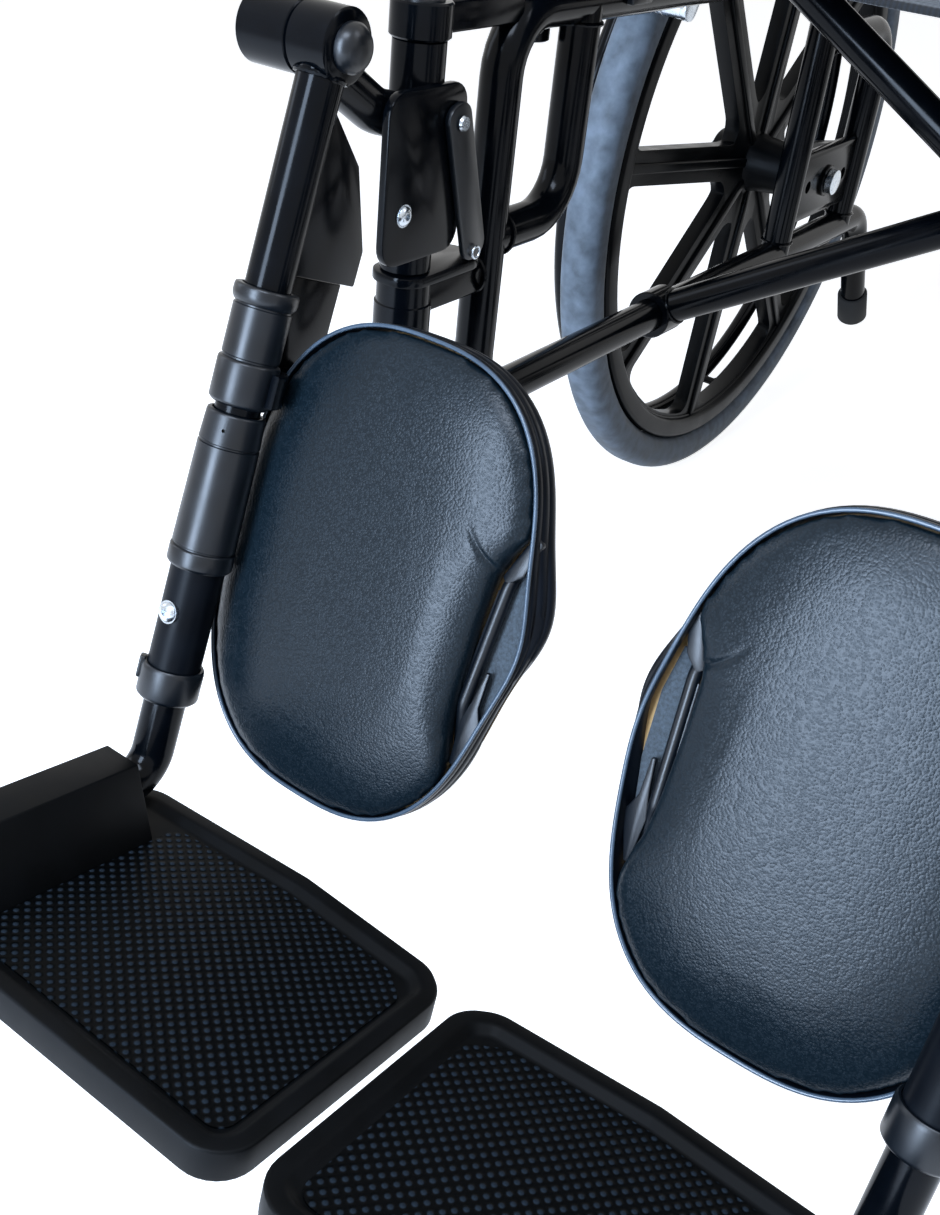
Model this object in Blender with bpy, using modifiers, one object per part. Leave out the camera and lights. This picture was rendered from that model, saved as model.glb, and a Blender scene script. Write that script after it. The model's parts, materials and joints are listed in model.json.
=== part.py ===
"""A folding steel wheelchair with elevating legrests.

Metres, +Z up, the chair faces -Y. The ground is z = 0. Each piece of one side is built on the left (+X) side of
the chair, where +X is outward, and mirrored for the right.
"""

import math

import bmesh
import bpy
from mathutils import Matrix, Vector

# Fits and fineness
CLEARANCE = 0.0003
WELD = 0.00001
OVERLAP = 0.003
TUBE_SIDES = 10
TURN_SIDES = 36
SMALL_TURN_SIDES = 20
BEND_STEPS = 3

# Side frame
SIDE_X = 0.230
RAIL_RADIUS = 0.0125
LOWER_RAIL_Z = 0.250
FRONT_POST_Y = -0.207
BACK_POST_Y = 0.262
REAR_UPRIGHT_Y = 0.405
REAR_UPRIGHT_TOP_Z = 0.430
POST_BEND = 0.035
HANDLE_Z = 0.915
HANDLE_REACH = 0.135
TIPPING_BEND_Y = 0.455
TIPPING_END = (0.528, 0.128)
TIP_RADIUS = 0.0155
TIP_LENGTH = 0.030
STAY_Z = 0.361
STAY_Y = -0.128

# Cross brace
BRACE_ANGLE = math.radians(30.5)
BRACE_Y = 0.060
BRACE_SPACING = 0.031
BRACE_BARREL_WALL = 0.005
BRACE_BARREL_LENGTH = 0.028
SEAT_RAIL_RADIUS = 0.0115
SEAT_RAIL_FRONT_Y = -0.190
SEAT_RAIL_BACK_Y = 0.238
SEAT_RAIL_RISE = 0.034
SADDLE_WALL = 0.005
SADDLE_LENGTH = 0.024
SADDLE_LIP = 0.004
SADDLE_YS = (-0.085, 0.170)
PIVOT_RADIUS = 0.004
PIVOT_HEAD_RADIUS = 0.0075
PIVOT_HEAD = 0.004

# Slings
SLING_THICKNESS = 0.004
SEAT_SAG = 0.016
BACK_SLING_LOW_Z = 0.560
BACK_SLING_HIGH_Z = 0.885
BACK_BOW = 0.022

# Rear wheel
WHEEL_X = 0.304
WHEEL_RADIUS = 0.305
AXLE_Y = 0.335
TYRE_WIDTH = 0.033
TYRE_DEPTH = 0.033
RIM_WIDTH = 0.028
RIM_DEPTH = 0.019
HUB_RADIUS = 0.027
HUB_INNER_X = 0.262
HUB_OUTER_X = 0.336
SPOKE_COUNT = 8
SPOKE_ROOT_WIDTH = 0.032
SPOKE_TIP_WIDTH = 0.028
WINDOW_MARGIN = 0.033
WINDOW_TURN = math.radians(15)
SPOKE_THICKNESS = 0.014
AXLE_RADIUS = 0.006
AXLE_HEAD_RADIUS = 0.011
AXLE_HEAD = 0.007
AXLE_SLEEVE_RADIUS = 0.014
AXLE_SLEEVE_REACH = 0.022
AXLE_PLATE_HEIGHT = 0.060
AXLE_PLATE_THICKNESS = 0.010
HANDRIM_RADIUS = 0.262
HANDRIM_TUBE = 0.0080
HANDRIM_OFFSET = 0.036
STANDOFF_RADIUS = 0.004
STANDOFF_COUNT = 6

# Caster
CASTER_Y = -0.285
CASTER_TRAIL = 0.048
CASTER_RADIUS = 0.100
CASTER_TYRE_DEPTH = 0.019
CASTER_TYRE_WIDTH = 0.028
CASTER_HUB_WIDTH = 0.040
CASTER_STEM_RADIUS = 0.008
CASTER_PIN_RADIUS = 0.004
FORK_PLATE = 0.004
FORK_CROWN_Z = 0.212
FORK_CROWN = 0.010
BARREL_RADIUS = 0.0165
BARREL_BOTTOM_Z = 0.232
BARREL_STEM_TOP_Z = 0.325
GUSSET_THICKNESS = 0.014
GUSSET_LOW_Z = 0.330

# Legrest hanger
HINGE_LOW_Z = 0.3515
HINGE_HIGH_Z = 0.480
BRACKET_HEIGHT = 0.018
PIN_RADIUS = 0.007
PIN_SEAT = 0.012
CATCH_THICKNESS = 0.006
CATCH_REACH = 0.058
CATCH_WIDTH = 0.034
HINGE_TUBE_RADIUS = 0.0145
HANGER_ARM_RADIUS = 0.0115
HANGER_ARM_Z = 0.440
HANGER_PLATE = 0.005
HANGER_PLATE_FRONT_Y = -0.328
HANGER_PLATE_BACK_Y = -0.262
HANGER_PLATE_LOW_Z = 0.370
HANGER_PLATE_HIGH_Z = 0.460
HANGER_BOLT_YZ = (-0.312, 0.397)
BOLT_HEAD_RADIUS = 0.005
BOLT_HEAD = 0.0045
LEVER_PIVOT_YZ = (-0.272, 0.440)
LEVER_END_YZ = (-0.247, 0.362)
LEVER_THICKNESS = 0.004
LEVER_WIDTH = 0.020
LEVER_STUD_RADIUS = 0.003

# Legrest
LEG_X = 0.200
LEG_LEAN = math.radians(20)
FOOT_PIVOT_Y = -0.5155
FOOT_PIVOT_Z = 0.146
LEG_LENGTH = 0.368
LEG_TUBE_RADIUS = 0.0111
LUG_THICKNESS = 0.005
LUG_DEPTH = 0.060
LUG_LOW = 0.2665
LUG_SHOULDER = 0.284
LUG_WAIST = 0.322
LUG_HIGH = 0.345
FOOT_TUBE_RADIUS = 0.0108
CLAMP_TUBE_RADIUS = 0.0135
KNEE_EYE_RADIUS = 0.0165
KNEE_EYE_WIDTH = 0.0235
KNEE_STUD_RADIUS = 0.006
KNEE_HEAD_RADIUS = 0.011
KNEE_HEAD = 0.008
CLAMP_LOW = 0.054
CLAMP_HIGH = 0.1675
LEG_TUBE_END = 0.154
FOOT_TUBE_TOP = 0.126
COLLAR_LOW = 0.047
COLLAR_HIGH = 0.065
COLLAR_RADIUS = 0.0152
LOWER_SLEEVE_LOW = 0.119
LOWER_SLEEVE_RING = 0.129
LOWER_SLEEVE_SEAM = 0.182
LOWER_SLEEVE_HIGH = 0.198
LOWER_SLEEVE_RING_RADIUS = 0.0163
LOWER_SLEEVE_FOOT_RADIUS = 0.0158
LOWER_SLEEVE_HEAD_RADIUS = 0.0150
LOWER_SLEEVE_LIP_RADIUS = 0.0142
UPPER_SLEEVE_LOW = 0.202
UPPER_SLEEVE_RING = 0.224
UPPER_SLEEVE_LIP = 0.250
UPPER_SLEEVE_HIGH = 0.258
UPPER_SLEEVE_RING_RADIUS = 0.0150
UPPER_SLEEVE_RADIUS = 0.0140
UPPER_SLEEVE_LIP_RADIUS = 0.0155
LOCK_BOLT_HEIGHT = 0.095
LOCK_BOLT_RADIUS = 0.0025

# Footplate
PLATE_TILT = math.radians(12)
PLATE_INWARD = 0.195
PLATE_OUTWARD = 0.0175
PLATE_REAR = 0.0165
PLATE_BOW = 0.006
PLATE_SLANT = (0.015, 0.012)
PLATE_FRONT = 0.138
PLATE_CORNER = 0.020
PLATE_DROP = 0.021
PLATE_LIP = 0.004
PLATE_THICKNESS = 0.012
PLATE_BORDER = 0.0130
CHANNEL_HALF = 0.0165
CHANNEL_TOP = 0.0070
CHANNEL_FOOT = 0.0235
CHANNEL_START = 0.018
CHANNEL_END = 0.130
CHANNEL_CAP = 0.005
FOOT_BEND = 0.020

# Calf pad
PAD_WIDTH = 0.1704
PAD_HEIGHT = 0.236
PAD_ROUNDNESS = 2.66
PAD_SIDE = 0.0059
PAD_BOTTOM = 0.025
PAD_FACE = 0.022
PAD_CROWN = 0.010
PAD_BACK = 0.034
PAD_STEPS = 36
PAD_CUT_DEPTH = 0.017
PAD_CUT_LOW = 0.090
PAD_CUT_HIGH = 0.174
PAD_CUT_LOW_RAMP = 0.041
PAD_CUT_HIGH_RAMP = 0.028
BOARD_THICKNESS = 0.006
BOARD_INSET = 0.002
BOARD_BULGE = 0.0105
BOARD_BULGE_SPAN = 0.030
BOARD_BULGE_HEIGHT = 0.155
BOARD_WALL = 0.0025
BOARD_WALL_FRONT = 0.0272
BOARD_WALL_LOW = 0.084
BOARD_WALL_HIGH = 0.188
STRAP_BAR_RADIUS = 0.0032
STRAP_BAR_RISE = 0.0072
STRAP_BAR_SIDE = 0.011
BRACKET_BAR = 0.004
BRACKET_WIDTH = 0.016
BRACKET_REACH = 0.110
BRACKET_RING_WALL = 0.0045
BRACKET_FIN = 0.005
BRACKET_FIN_GAP = 0.0045

# Arms
ARM_X = 0.256
ARM_TUBE_RADIUS = 0.0095
ARM_FRONT_Y = -0.145
ARM_BACK_Y = 0.222
ARM_TOP_Z = 0.737
ARM_BOTTOM_Z = 0.466
ARM_BEND = 0.030
SOCKET_WALL = 0.0035
SOCKET_HEIGHT = 0.046
SKIRT_LOW_Z = 0.540
SKIRT_HIGH_Z = 0.715
SKIRT_THICKNESS = 0.003
ARM_PAD_LENGTH = 0.300
ARM_PAD_WIDTH = 0.050
ARM_PAD_OFFSET = 0.013
ARM_PAD_HEIGHT = 0.026
ARM_PAD_CORNER = 0.018

# Push grip
GRIP_RADIUS = 0.0170
GRIP_LENGTH = 0.098
GRIP_END = 0.004

# Wheel lock
BRAKE_PLATE_THICKNESS = 0.006
BRAKE_PLATE_MARGIN = 0.016
BRAKE_STUD_RADIUS = 0.004
BRAKE_EYE_RADIUS = 0.009
BRAKE_ARM_THICKNESS = 0.006
BRAKE_GAP = 0.008
BRAKE_CONTACT_ANGLE = math.radians(30)
BRAKE_ARM_LENGTH = 0.045
BRAKE_SHOE_RADIUS = 0.008
BRAKE_SHOE_REACH = 0.016
BRAKE_HANDLE_YZ = (0.012, 0.4925)
BRAKE_HANDLE_LENGTH = 0.115
BRAKE_HANDLE_LEAN = math.radians(10)
BRAKE_ROD_RADIUS = 0.005
BRAKE_KNOB_RADIUS = 0.010
BRAKE_KNOB_LENGTH = 0.045

# Places that follow from the sizes above
BRACE_RISE = SIDE_X * math.tan(BRACE_ANGLE)
PIVOT_Z = LOWER_RAIL_Z + BRACE_RISE
SEAT_RAIL_Z = LOWER_RAIL_Z + 2 * BRACE_RISE
UPPER_RAIL_Z = SEAT_RAIL_Z - SEAT_RAIL_RISE
FOOT_PIVOT = Vector((LEG_X, FOOT_PIVOT_Y, FOOT_PIVOT_Z))
LEG_FRAME = Matrix.Translation(FOOT_PIVOT) @ Matrix.Rotation(-LEG_LEAN, 4, "X")
PLATE_FRAME = Matrix.Translation(FOOT_PIVOT) @ Matrix.Rotation(-PLATE_TILT, 4, "X")
KNEE = LEG_FRAME @ Vector((0, 0, LEG_LENGTH))
HINGE = Vector((SIDE_X, CASTER_Y, HINGE_LOW_Z))
AXLE = Vector((WHEEL_X, AXLE_Y, WHEEL_RADIUS))
CASTER_AXLE = Vector((SIDE_X, CASTER_Y + CASTER_TRAIL, CASTER_RADIUS))
RIM_RADIUS = WHEEL_RADIUS - TYRE_DEPTH - CLEARANCE
BRAKE_SHOE_AT = WHEEL_RADIUS + BRAKE_GAP + BRAKE_SHOE_RADIUS
BRAKE_SHOE_YZ = (
    AXLE_Y - BRAKE_SHOE_AT * math.cos(BRAKE_CONTACT_ANGLE),
    WHEEL_RADIUS + BRAKE_SHOE_AT * math.sin(BRAKE_CONTACT_ANGLE),
)
BRAKE_PIVOT_YZ = (
    BRAKE_SHOE_YZ[0] + BRAKE_ARM_LENGTH * math.sin(BRAKE_CONTACT_ANGLE),
    BRAKE_SHOE_YZ[1] + BRAKE_ARM_LENGTH * math.cos(BRAKE_CONTACT_ANGLE),
)
BRAKE_PLATE_LOW_Z = UPPER_RAIL_Z - RAIL_RADIUS - CLEARANCE
BRAKE_PLATE_HIGH_Z = max(BRAKE_PIVOT_YZ[1], BRAKE_HANDLE_YZ[1]) + BRAKE_PLATE_MARGIN
BRAKE_PLATE_FRONT_Y = min(BRAKE_PIVOT_YZ[0], BRAKE_HANDLE_YZ[0]) - BRAKE_PLATE_MARGIN
BRAKE_PLATE_BACK_Y = max(BRAKE_PIVOT_YZ[0], BRAKE_HANDLE_YZ[0]) + BRAKE_PLATE_MARGIN
BRAKE_PLATE_X = SIDE_X + RAIL_RADIUS + BRAKE_PLATE_THICKNESS
BRAKE_SHOE_X = BRAKE_PLATE_X + 0.002
BRAKE_HANDLE_X = ARM_X + SKIRT_THICKNESS / 2 + BRAKE_KNOB_RADIUS + 0.0015 - BRAKE_ARM_THICKNESS / 2

# Finishes: colour, roughness, metallic
FINISHES = {
    "gloss_black": ((0.012, 0.014, 0.018), 0.22, 0.0),
    "satin_black": ((0.020, 0.024, 0.030), 0.45, 0.0),
    "zinc": ((0.62, 0.64, 0.66), 0.32, 1.0),
    "tyre_grey": ((0.34, 0.36, 0.39), 0.80, 0.0),
    "rubber_black": ((0.018, 0.019, 0.021), 0.85, 0.0),
    "slate_leather": ((0.032, 0.046, 0.062), 0.48, 0.0),
    "black_cloth": ((0.020, 0.021, 0.024), 0.90, 0.0),
    "board_black": ((0.016, 0.018, 0.021), 0.60, 0.0),
}


def clear_scene():
    """Removes what the startup scene holds."""
    for obj in list(bpy.data.objects):
        bpy.data.objects.remove(obj)


def new_collection(name):
    """Makes a collection in the scene."""
    collection = bpy.data.collections.new(name)
    bpy.context.scene.collection.children.link(collection)
    return collection


def finish_material(name):
    """Gives the named finish, made at its first use."""
    if name in bpy.data.materials:
        return bpy.data.materials[name]
    colour, roughness, metallic = FINISHES[name]
    material = bpy.data.materials.new(name)
    material.use_nodes = True
    shader = material.node_tree.nodes["Principled BSDF"]
    shader.inputs["Base Color"].default_value = (*colour, 1)
    shader.inputs["Roughness"].default_value = roughness
    shader.inputs["Metallic"].default_value = metallic
    return material


def new_object(name, data, matrix=None):
    """Links an object in the scene's own collection, where the work in progress stays."""
    obj = bpy.data.objects.new(name, data)
    bpy.context.scene.collection.objects.link(obj)
    obj.matrix_world = matrix or Matrix.Identity(4)
    return obj


def baked(obj):
    """Turns an object with its modifiers and its placement into a welded mesh in world space."""
    bpy.context.view_layer.update()
    source = obj.evaluated_get(bpy.context.evaluated_depsgraph_get())
    mesh = bpy.data.meshes.new_from_object(source)
    mesh.transform(obj.matrix_world)
    shape = bmesh.new()
    shape.from_mesh(mesh)
    bmesh.ops.remove_doubles(shape, verts=shape.verts, dist=WELD)
    bmesh.ops.dissolve_degenerate(shape, edges=shape.edges, dist=WELD)
    bmesh.ops.recalc_face_normals(shape, faces=shape.faces)
    shape.to_mesh(mesh)
    shape.free()
    name = obj.name
    bpy.data.objects.remove(obj)
    return new_object(name, mesh)


def combined(base, others, operation):
    """Applies one Boolean operation with each of the other solids, which are used up."""
    for other in others:
        modifier = base.modifiers.new(operation.lower(), "BOOLEAN")
        modifier.operation = operation
        modifier.object = other
    result = baked(base)
    for other in others:
        bpy.data.objects.remove(other)
    return result


def joined(base, *others):
    """Unites solids into one."""
    return combined(base, others, "UNION")


def cut(base, *cutters):
    """Takes the cutters out of a solid."""
    return combined(base, cutters, "DIFFERENCE")


def bore_radius(radius, sides=TUBE_SIDES):
    """The corner radius of a hole whose flats clear a shaft of this radius."""
    return (radius + CLEARANCE) / math.cos(math.pi / sides)


def box(low, high, matrix=None, name="box"):
    """A box between two corners."""
    low, high = Vector(low), Vector(high)
    shape = bmesh.new()
    bmesh.ops.create_cube(shape, size=1)
    bmesh.ops.scale(shape, vec=high - low, verts=shape.verts)
    bmesh.ops.translate(shape, vec=(low + high) / 2, verts=shape.verts)
    mesh = bpy.data.meshes.new(name)
    shape.to_mesh(mesh)
    shape.free()
    return baked(new_object(name, mesh, matrix))


def rod(start, end, radius, matrix=None, sides=TUBE_SIDES, end_radius=None, name="rod"):
    """A cylinder, or a cone, between two points."""
    start, end = Vector(start), Vector(end)
    axis = end - start
    shape = bmesh.new()
    bmesh.ops.create_cone(
        shape,
        cap_ends=True,
        segments=sides,
        radius1=radius,
        radius2=radius if end_radius is None else end_radius,
        depth=axis.length,
    )
    turn = axis.to_track_quat("Z", "Y").to_matrix().to_4x4()
    shape.transform(Matrix.Translation((start + end) / 2) @ turn)
    mesh = bpy.data.meshes.new(name)
    shape.to_mesh(mesh)
    shape.free()
    return baked(new_object(name, mesh, matrix))


def turned(profile, centre, axis, sides=TUBE_SIDES, matrix=None, name="turned"):
    """A closed profile of (radius, height) points, turned about an axis through the centre."""
    mesh = bpy.data.meshes.new(name)
    points = [(radius, 0, height) for radius, height in profile]
    edges = [(i, (i + 1) % len(points)) for i in range(len(points))]
    edges = [(i, j) for i, j in edges if points[i][0] + points[j][0] > 0]
    mesh.from_pydata(points, edges, [])
    turn = Vector(axis).to_track_quat("Z", "Y").to_matrix().to_4x4()
    obj = new_object(name, mesh, (matrix or Matrix.Identity(4)) @ Matrix.Translation(centre) @ turn)
    screw = obj.modifiers.new("turn", "SCREW")
    screw.steps = screw.render_steps = sides
    screw.use_merge_vertices = True
    screw.merge_threshold = WELD
    return baked(obj)


def ring(radius, hole, low, high):
    """The profile of a plain ring."""
    return [(hole, high), (radius, high), (radius, low), (hole, low)]


def filleted(points, radius, steps=BEND_STEPS):
    """A path through the points, with each inner corner rounded by an arc."""
    points = [Vector(point) for point in points]
    path = [points[0]]
    for before, corner, after in zip(points, points[1:], points[2:]):
        back, ahead = (before - corner).normalized(), (after - corner).normalized()
        half = back.angle(ahead) / 2
        middle = corner + (back + ahead).normalized() * radius / math.sin(half)
        start = corner + back * radius / math.tan(half)
        end = corner + ahead * radius / math.tan(half)
        for step in range(steps + 1):
            way = start.lerp(end, step / steps) - middle
            path.append(middle + way.normalized() * radius)
    return path + [points[-1]]


def tube(points, radius, bend=None, matrix=None, name="tube"):
    """A round bar along a path."""
    path = filleted(points, bend) if bend else [Vector(point) for point in points]
    curve = bpy.data.curves.new(name, "CURVE")
    curve.dimensions = "3D"
    curve.bevel_depth = radius
    curve.bevel_resolution = TUBE_SIDES // 2 - 2
    curve.use_fill_caps = True
    spline = curve.splines.new("POLY")
    spline.points.add(len(path) - 1)
    for point, place in zip(spline.points, path):
        point.co = (*place, 1)
    return baked(new_object(name, curve, matrix))


def slab(outline, thickness, matrix, name="slab"):
    """A flat outline in the matrix's XY plane, half of its thickness to each side."""
    curve = bpy.data.curves.new(name, "CURVE")
    curve.dimensions = "2D"
    curve.fill_mode = "BOTH"
    curve.extrude = thickness / 2
    spline = curve.splines.new("POLY")
    spline.points.add(len(outline) - 1)
    spline.use_cyclic_u = True
    for point, (across, along) in zip(spline.points, outline):
        point.co = (across, along, 0, 1)
    return baked(new_object(name, curve, matrix))


def rounded(corners, radius, steps=BEND_STEPS):
    """A closed outline of (x, y) points with rounded corners."""
    corners = [Vector((x, y, 0)) for x, y in corners]
    closed = [corners[-1], *corners, corners[0]]
    return [(point.x, point.y) for point in filleted(closed, radius, steps)[1:-1]]


def rectangle(low, high):
    """The corners of a rectangle between two (x, y) corners."""
    return [(low[0], low[1]), (high[0], low[1]), (high[0], high[1]), (low[0], high[1])]


def puffed(outline, layers, matrix, name="puffed"):
    """A stuffed form: an outline in the matrix's XY plane, raised through (inset share, height) layers."""
    centre = sum((Vector((*point, 0)) for point in outline), Vector()) / len(outline)
    shape = bmesh.new()
    loop = [shape.verts.new((*point, layers[0][1])) for point in outline]
    face = shape.faces.new(loop)
    base = face
    share = 1.0
    for inset, height in layers[1:]:
        grown = bmesh.ops.extrude_face_region(shape, geom=[face])["geom"]
        verts = [item for item in grown if isinstance(item, bmesh.types.BMVert)]
        if face != base and face.is_valid:
            shape.faces.remove(face)
        face = next(item for item in grown if isinstance(item, bmesh.types.BMFace))
        ratio = (1 - inset) / share
        share = 1 - inset
        for vert in verts:
            flat = Vector((vert.co.x, vert.co.y, 0))
            vert.co = (*(centre + (flat - centre) * ratio).xy, height)
    mesh = bpy.data.meshes.new(name)
    shape.to_mesh(mesh)
    shape.free()
    return baked(new_object(name, mesh, matrix))


def side_plane(x):
    """A frame whose XY plane is the world's YZ plane at this x."""
    return Matrix.Translation((x, 0, 0)) @ Matrix(((0, 0, 1, 0), (1, 0, 0, 0), (0, 1, 0, 0), (0, 0, 0, 1)))


def frame_tubes():
    """The bent tubes of a side frame: the loop with the tipping lever, the back post, upright and stay."""
    rear_y = BACK_POST_Y
    loop = [
        (SIDE_X, rear_y, UPPER_RAIL_Z),
        (SIDE_X, FRONT_POST_Y, UPPER_RAIL_Z),
        (SIDE_X, FRONT_POST_Y, LOWER_RAIL_Z),
        (SIDE_X, TIPPING_BEND_Y, LOWER_RAIL_Z),
        (SIDE_X, *TIPPING_END),
    ]
    post = [
        (SIDE_X, BACK_POST_Y, LOWER_RAIL_Z),
        (SIDE_X, BACK_POST_Y, HANDLE_Z),
        (SIDE_X, BACK_POST_Y + HANDLE_REACH, HANDLE_Z),
    ]
    upright = [
        (SIDE_X, REAR_UPRIGHT_Y, LOWER_RAIL_Z),
        (SIDE_X, REAR_UPRIGHT_Y, REAR_UPRIGHT_TOP_Z),
        (SIDE_X, BACK_POST_Y, REAR_UPRIGHT_TOP_Z),
    ]
    stay = [
        (SIDE_X, FRONT_POST_Y, STAY_Z),
        (SIDE_X, STAY_Y, STAY_Z),
        (SIDE_X, STAY_Y, UPPER_RAIL_Z),
    ]
    return [tube(points, RAIL_RADIUS, POST_BEND) for points in (loop, post, upright, stay)]


def tipping_tip():
    """The moulded tip on the end of the tipping lever."""
    end = Vector((SIDE_X, *TIPPING_END))
    way = (Vector((SIDE_X, TIPPING_BEND_Y, LOWER_RAIL_Z)) - end).normalized()
    return rod(end - way * TIP_LENGTH * 0.2, end + way * TIP_LENGTH, TIP_RADIUS)


def caster_barrel():
    """The barrel, its gusset to the front post and the two brackets that hold the hanger's pin."""
    x, y = SIDE_X, CASTER_Y
    half = GUSSET_THICKNESS / 2
    barrel = rod((x, y, BARREL_BOTTOM_Z), (x, y, HINGE_LOW_Z), BARREL_RADIUS)
    gusset = box(
        (x - half, y - OVERLAP, GUSSET_LOW_Z), (x + half, FRONT_POST_Y + OVERLAP, HINGE_LOW_Z - 0.001)
    )
    top = rod((x, y, HINGE_HIGH_Z), (x, y, HINGE_HIGH_Z + BRACKET_HEIGHT), BARREL_RADIUS)
    low_z, high_z = HINGE_HIGH_Z + 0.001, HINGE_HIGH_Z + BRACKET_HEIGHT - 0.001
    arm = box((x - half, y - OVERLAP, low_z), (x + half, FRONT_POST_Y + POST_BEND, high_z))
    return [barrel, gusset, top, arm]


def axle_mount():
    """The plate between the two rear tubes and the sleeve that the axle passes through."""
    half, high = AXLE_PLATE_THICKNESS / 2, AXLE_PLATE_HEIGHT / 2
    plate = box(
        (SIDE_X - half, BACK_POST_Y - OVERLAP, WHEEL_RADIUS - high),
        (SIDE_X + half, REAR_UPRIGHT_Y + OVERLAP, WHEEL_RADIUS + high),
    )
    start = (SIDE_X - half - 0.003, AXLE_Y, WHEEL_RADIUS)
    sleeve = rod(start, (SIDE_X + AXLE_SLEEVE_REACH, AXLE_Y, WHEEL_RADIUS), AXLE_SLEEVE_RADIUS)
    return [plate, sleeve]


def arm_socket(y):
    """One socket for a leg of the arm frame, on the outer side of the upper rail."""
    radius = bore_radius(ARM_TUBE_RADIUS) + SOCKET_WALL
    low = ARM_BOTTOM_Z - SOCKET_WALL
    cup = rod((ARM_X, y, low), (ARM_X, y, low + SOCKET_HEIGHT), radius)
    web = box(
        (SIDE_X + OVERLAP, y - 0.008, UPPER_RAIL_Z - 0.010), (ARM_X - OVERLAP, y + 0.008, UPPER_RAIL_Z + 0.010)
    )
    return [cup, web]


def socket_hole(y):
    """The hole of an arm socket, open at the top."""
    return rod((ARM_X, y, ARM_BOTTOM_Z - CLEARANCE), (ARM_X, y, UPPER_RAIL_Z + 0.1), bore_radius(ARM_TUBE_RADIUS))


def saddle(y):
    """The block on the upper rail that the seat rail rests in, without its trough."""
    half_width = bore_radius(SEAT_RAIL_RADIUS) + SADDLE_WALL
    half_length = SADDLE_LENGTH / 2
    return box(
        (SIDE_X - half_width, y - half_length, UPPER_RAIL_Z - OVERLAP),
        (SIDE_X + half_width, y + half_length, SEAT_RAIL_Z + SADDLE_LIP),
    )


def saddle_trough(y):
    """The round-bottomed trough of a saddle."""
    steps = 6
    radius = bore_radius(SEAT_RAIL_RADIUS, 2 * steps)
    angles = [math.pi * (1 + step / steps) for step in range(steps + 1)]
    bottom = [(radius * math.cos(angle), radius * math.sin(angle)) for angle in angles]
    high = SADDLE_LIP + 0.01
    place = Matrix.Translation((SIDE_X, y, SEAT_RAIL_Z)) @ Matrix.Rotation(math.pi / 2, 4, "X")
    return slab([*bottom, (radius, high), (-radius, high)], 2 * SADDLE_LENGTH, place)


def brake_mount():
    """The wheel lock's plate on the upper rail, with the studs of its two levers."""
    plate = box(
        (SIDE_X + RAIL_RADIUS - 0.0002, BRAKE_PLATE_FRONT_Y, BRAKE_PLATE_LOW_Z),
        (BRAKE_PLATE_X, BRAKE_PLATE_BACK_Y, BRAKE_PLATE_HIGH_Z),
    )
    block = box(
        (SIDE_X + OVERLAP, BRAKE_PLATE_FRONT_Y + 0.001, UPPER_RAIL_Z - 0.009),
        (BRAKE_PLATE_X - 0.001, BRAKE_PLATE_BACK_Y - 0.001, UPPER_RAIL_Z + 0.009),
    )
    studs = []
    for (y, z), x in ((BRAKE_PIVOT_YZ, BRAKE_SHOE_X), (BRAKE_HANDLE_YZ, BRAKE_HANDLE_X)):
        head = x + BRAKE_ARM_THICKNESS + CLEARANCE
        studs.append(rod((BRAKE_PLATE_X - 0.003, y, z), (head + 0.002, y, z), BRAKE_STUD_RADIUS))
        studs.append(rod((head, y, z), (head + 0.0025, y, z), BRAKE_STUD_RADIUS * 1.6))
    return [plate, block, *studs]


def side_frame():
    """One side frame, welded from its tubes and brackets."""
    solids = frame_tubes() + [tipping_tip()] + caster_barrel() + axle_mount() + brake_mount()
    for y in (ARM_FRONT_Y, ARM_BACK_Y):
        solids += arm_socket(y)
    for y in SADDLE_YS:
        solids.append(saddle(y))
    frame = joined(*solids)
    pin = bore_radius(PIN_RADIUS)
    stem = bore_radius(CASTER_STEM_RADIUS)
    x, y = SIDE_X, CASTER_Y
    holes = [
        rod((x, y, BARREL_BOTTOM_Z - 0.01), (x, y, BARREL_STEM_TOP_Z), stem),
        rod((x, y, HINGE_LOW_Z - PIN_SEAT), (x, y, HINGE_LOW_Z + 0.01), pin),
        rod((x, y, HINGE_HIGH_Z - 0.01), (x, y, HINGE_HIGH_Z + PIN_SEAT), pin),
        rod((x - 0.03, AXLE_Y, WHEEL_RADIUS), (x + 0.05, AXLE_Y, WHEEL_RADIUS), bore_radius(AXLE_RADIUS)),
        socket_hole(ARM_FRONT_Y),
        socket_hole(ARM_BACK_Y),
    ]
    holes += [saddle_trough(y) for y in SADDLE_YS]
    return cut(frame, *holes)


def push_grip():
    """The moulded grip over the end of the push handle."""
    hole = bore_radius(RAIL_RADIUS)
    end = BACK_POST_Y + HANDLE_REACH
    profile = [
        (0, GRIP_END + CLEARANCE),
        (0, 0),
        (hole, 0),
        (hole, -GRIP_LENGTH),
        (GRIP_RADIUS, -GRIP_LENGTH),
        (GRIP_RADIUS, GRIP_END - 0.002),
        (GRIP_RADIUS - 0.003, GRIP_END + CLEARANCE),
    ]
    profile = [(radius, height + CLEARANCE) for radius, height in profile]
    return turned(profile, (SIDE_X, end, HANDLE_Z), (0, 1, 0))


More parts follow.
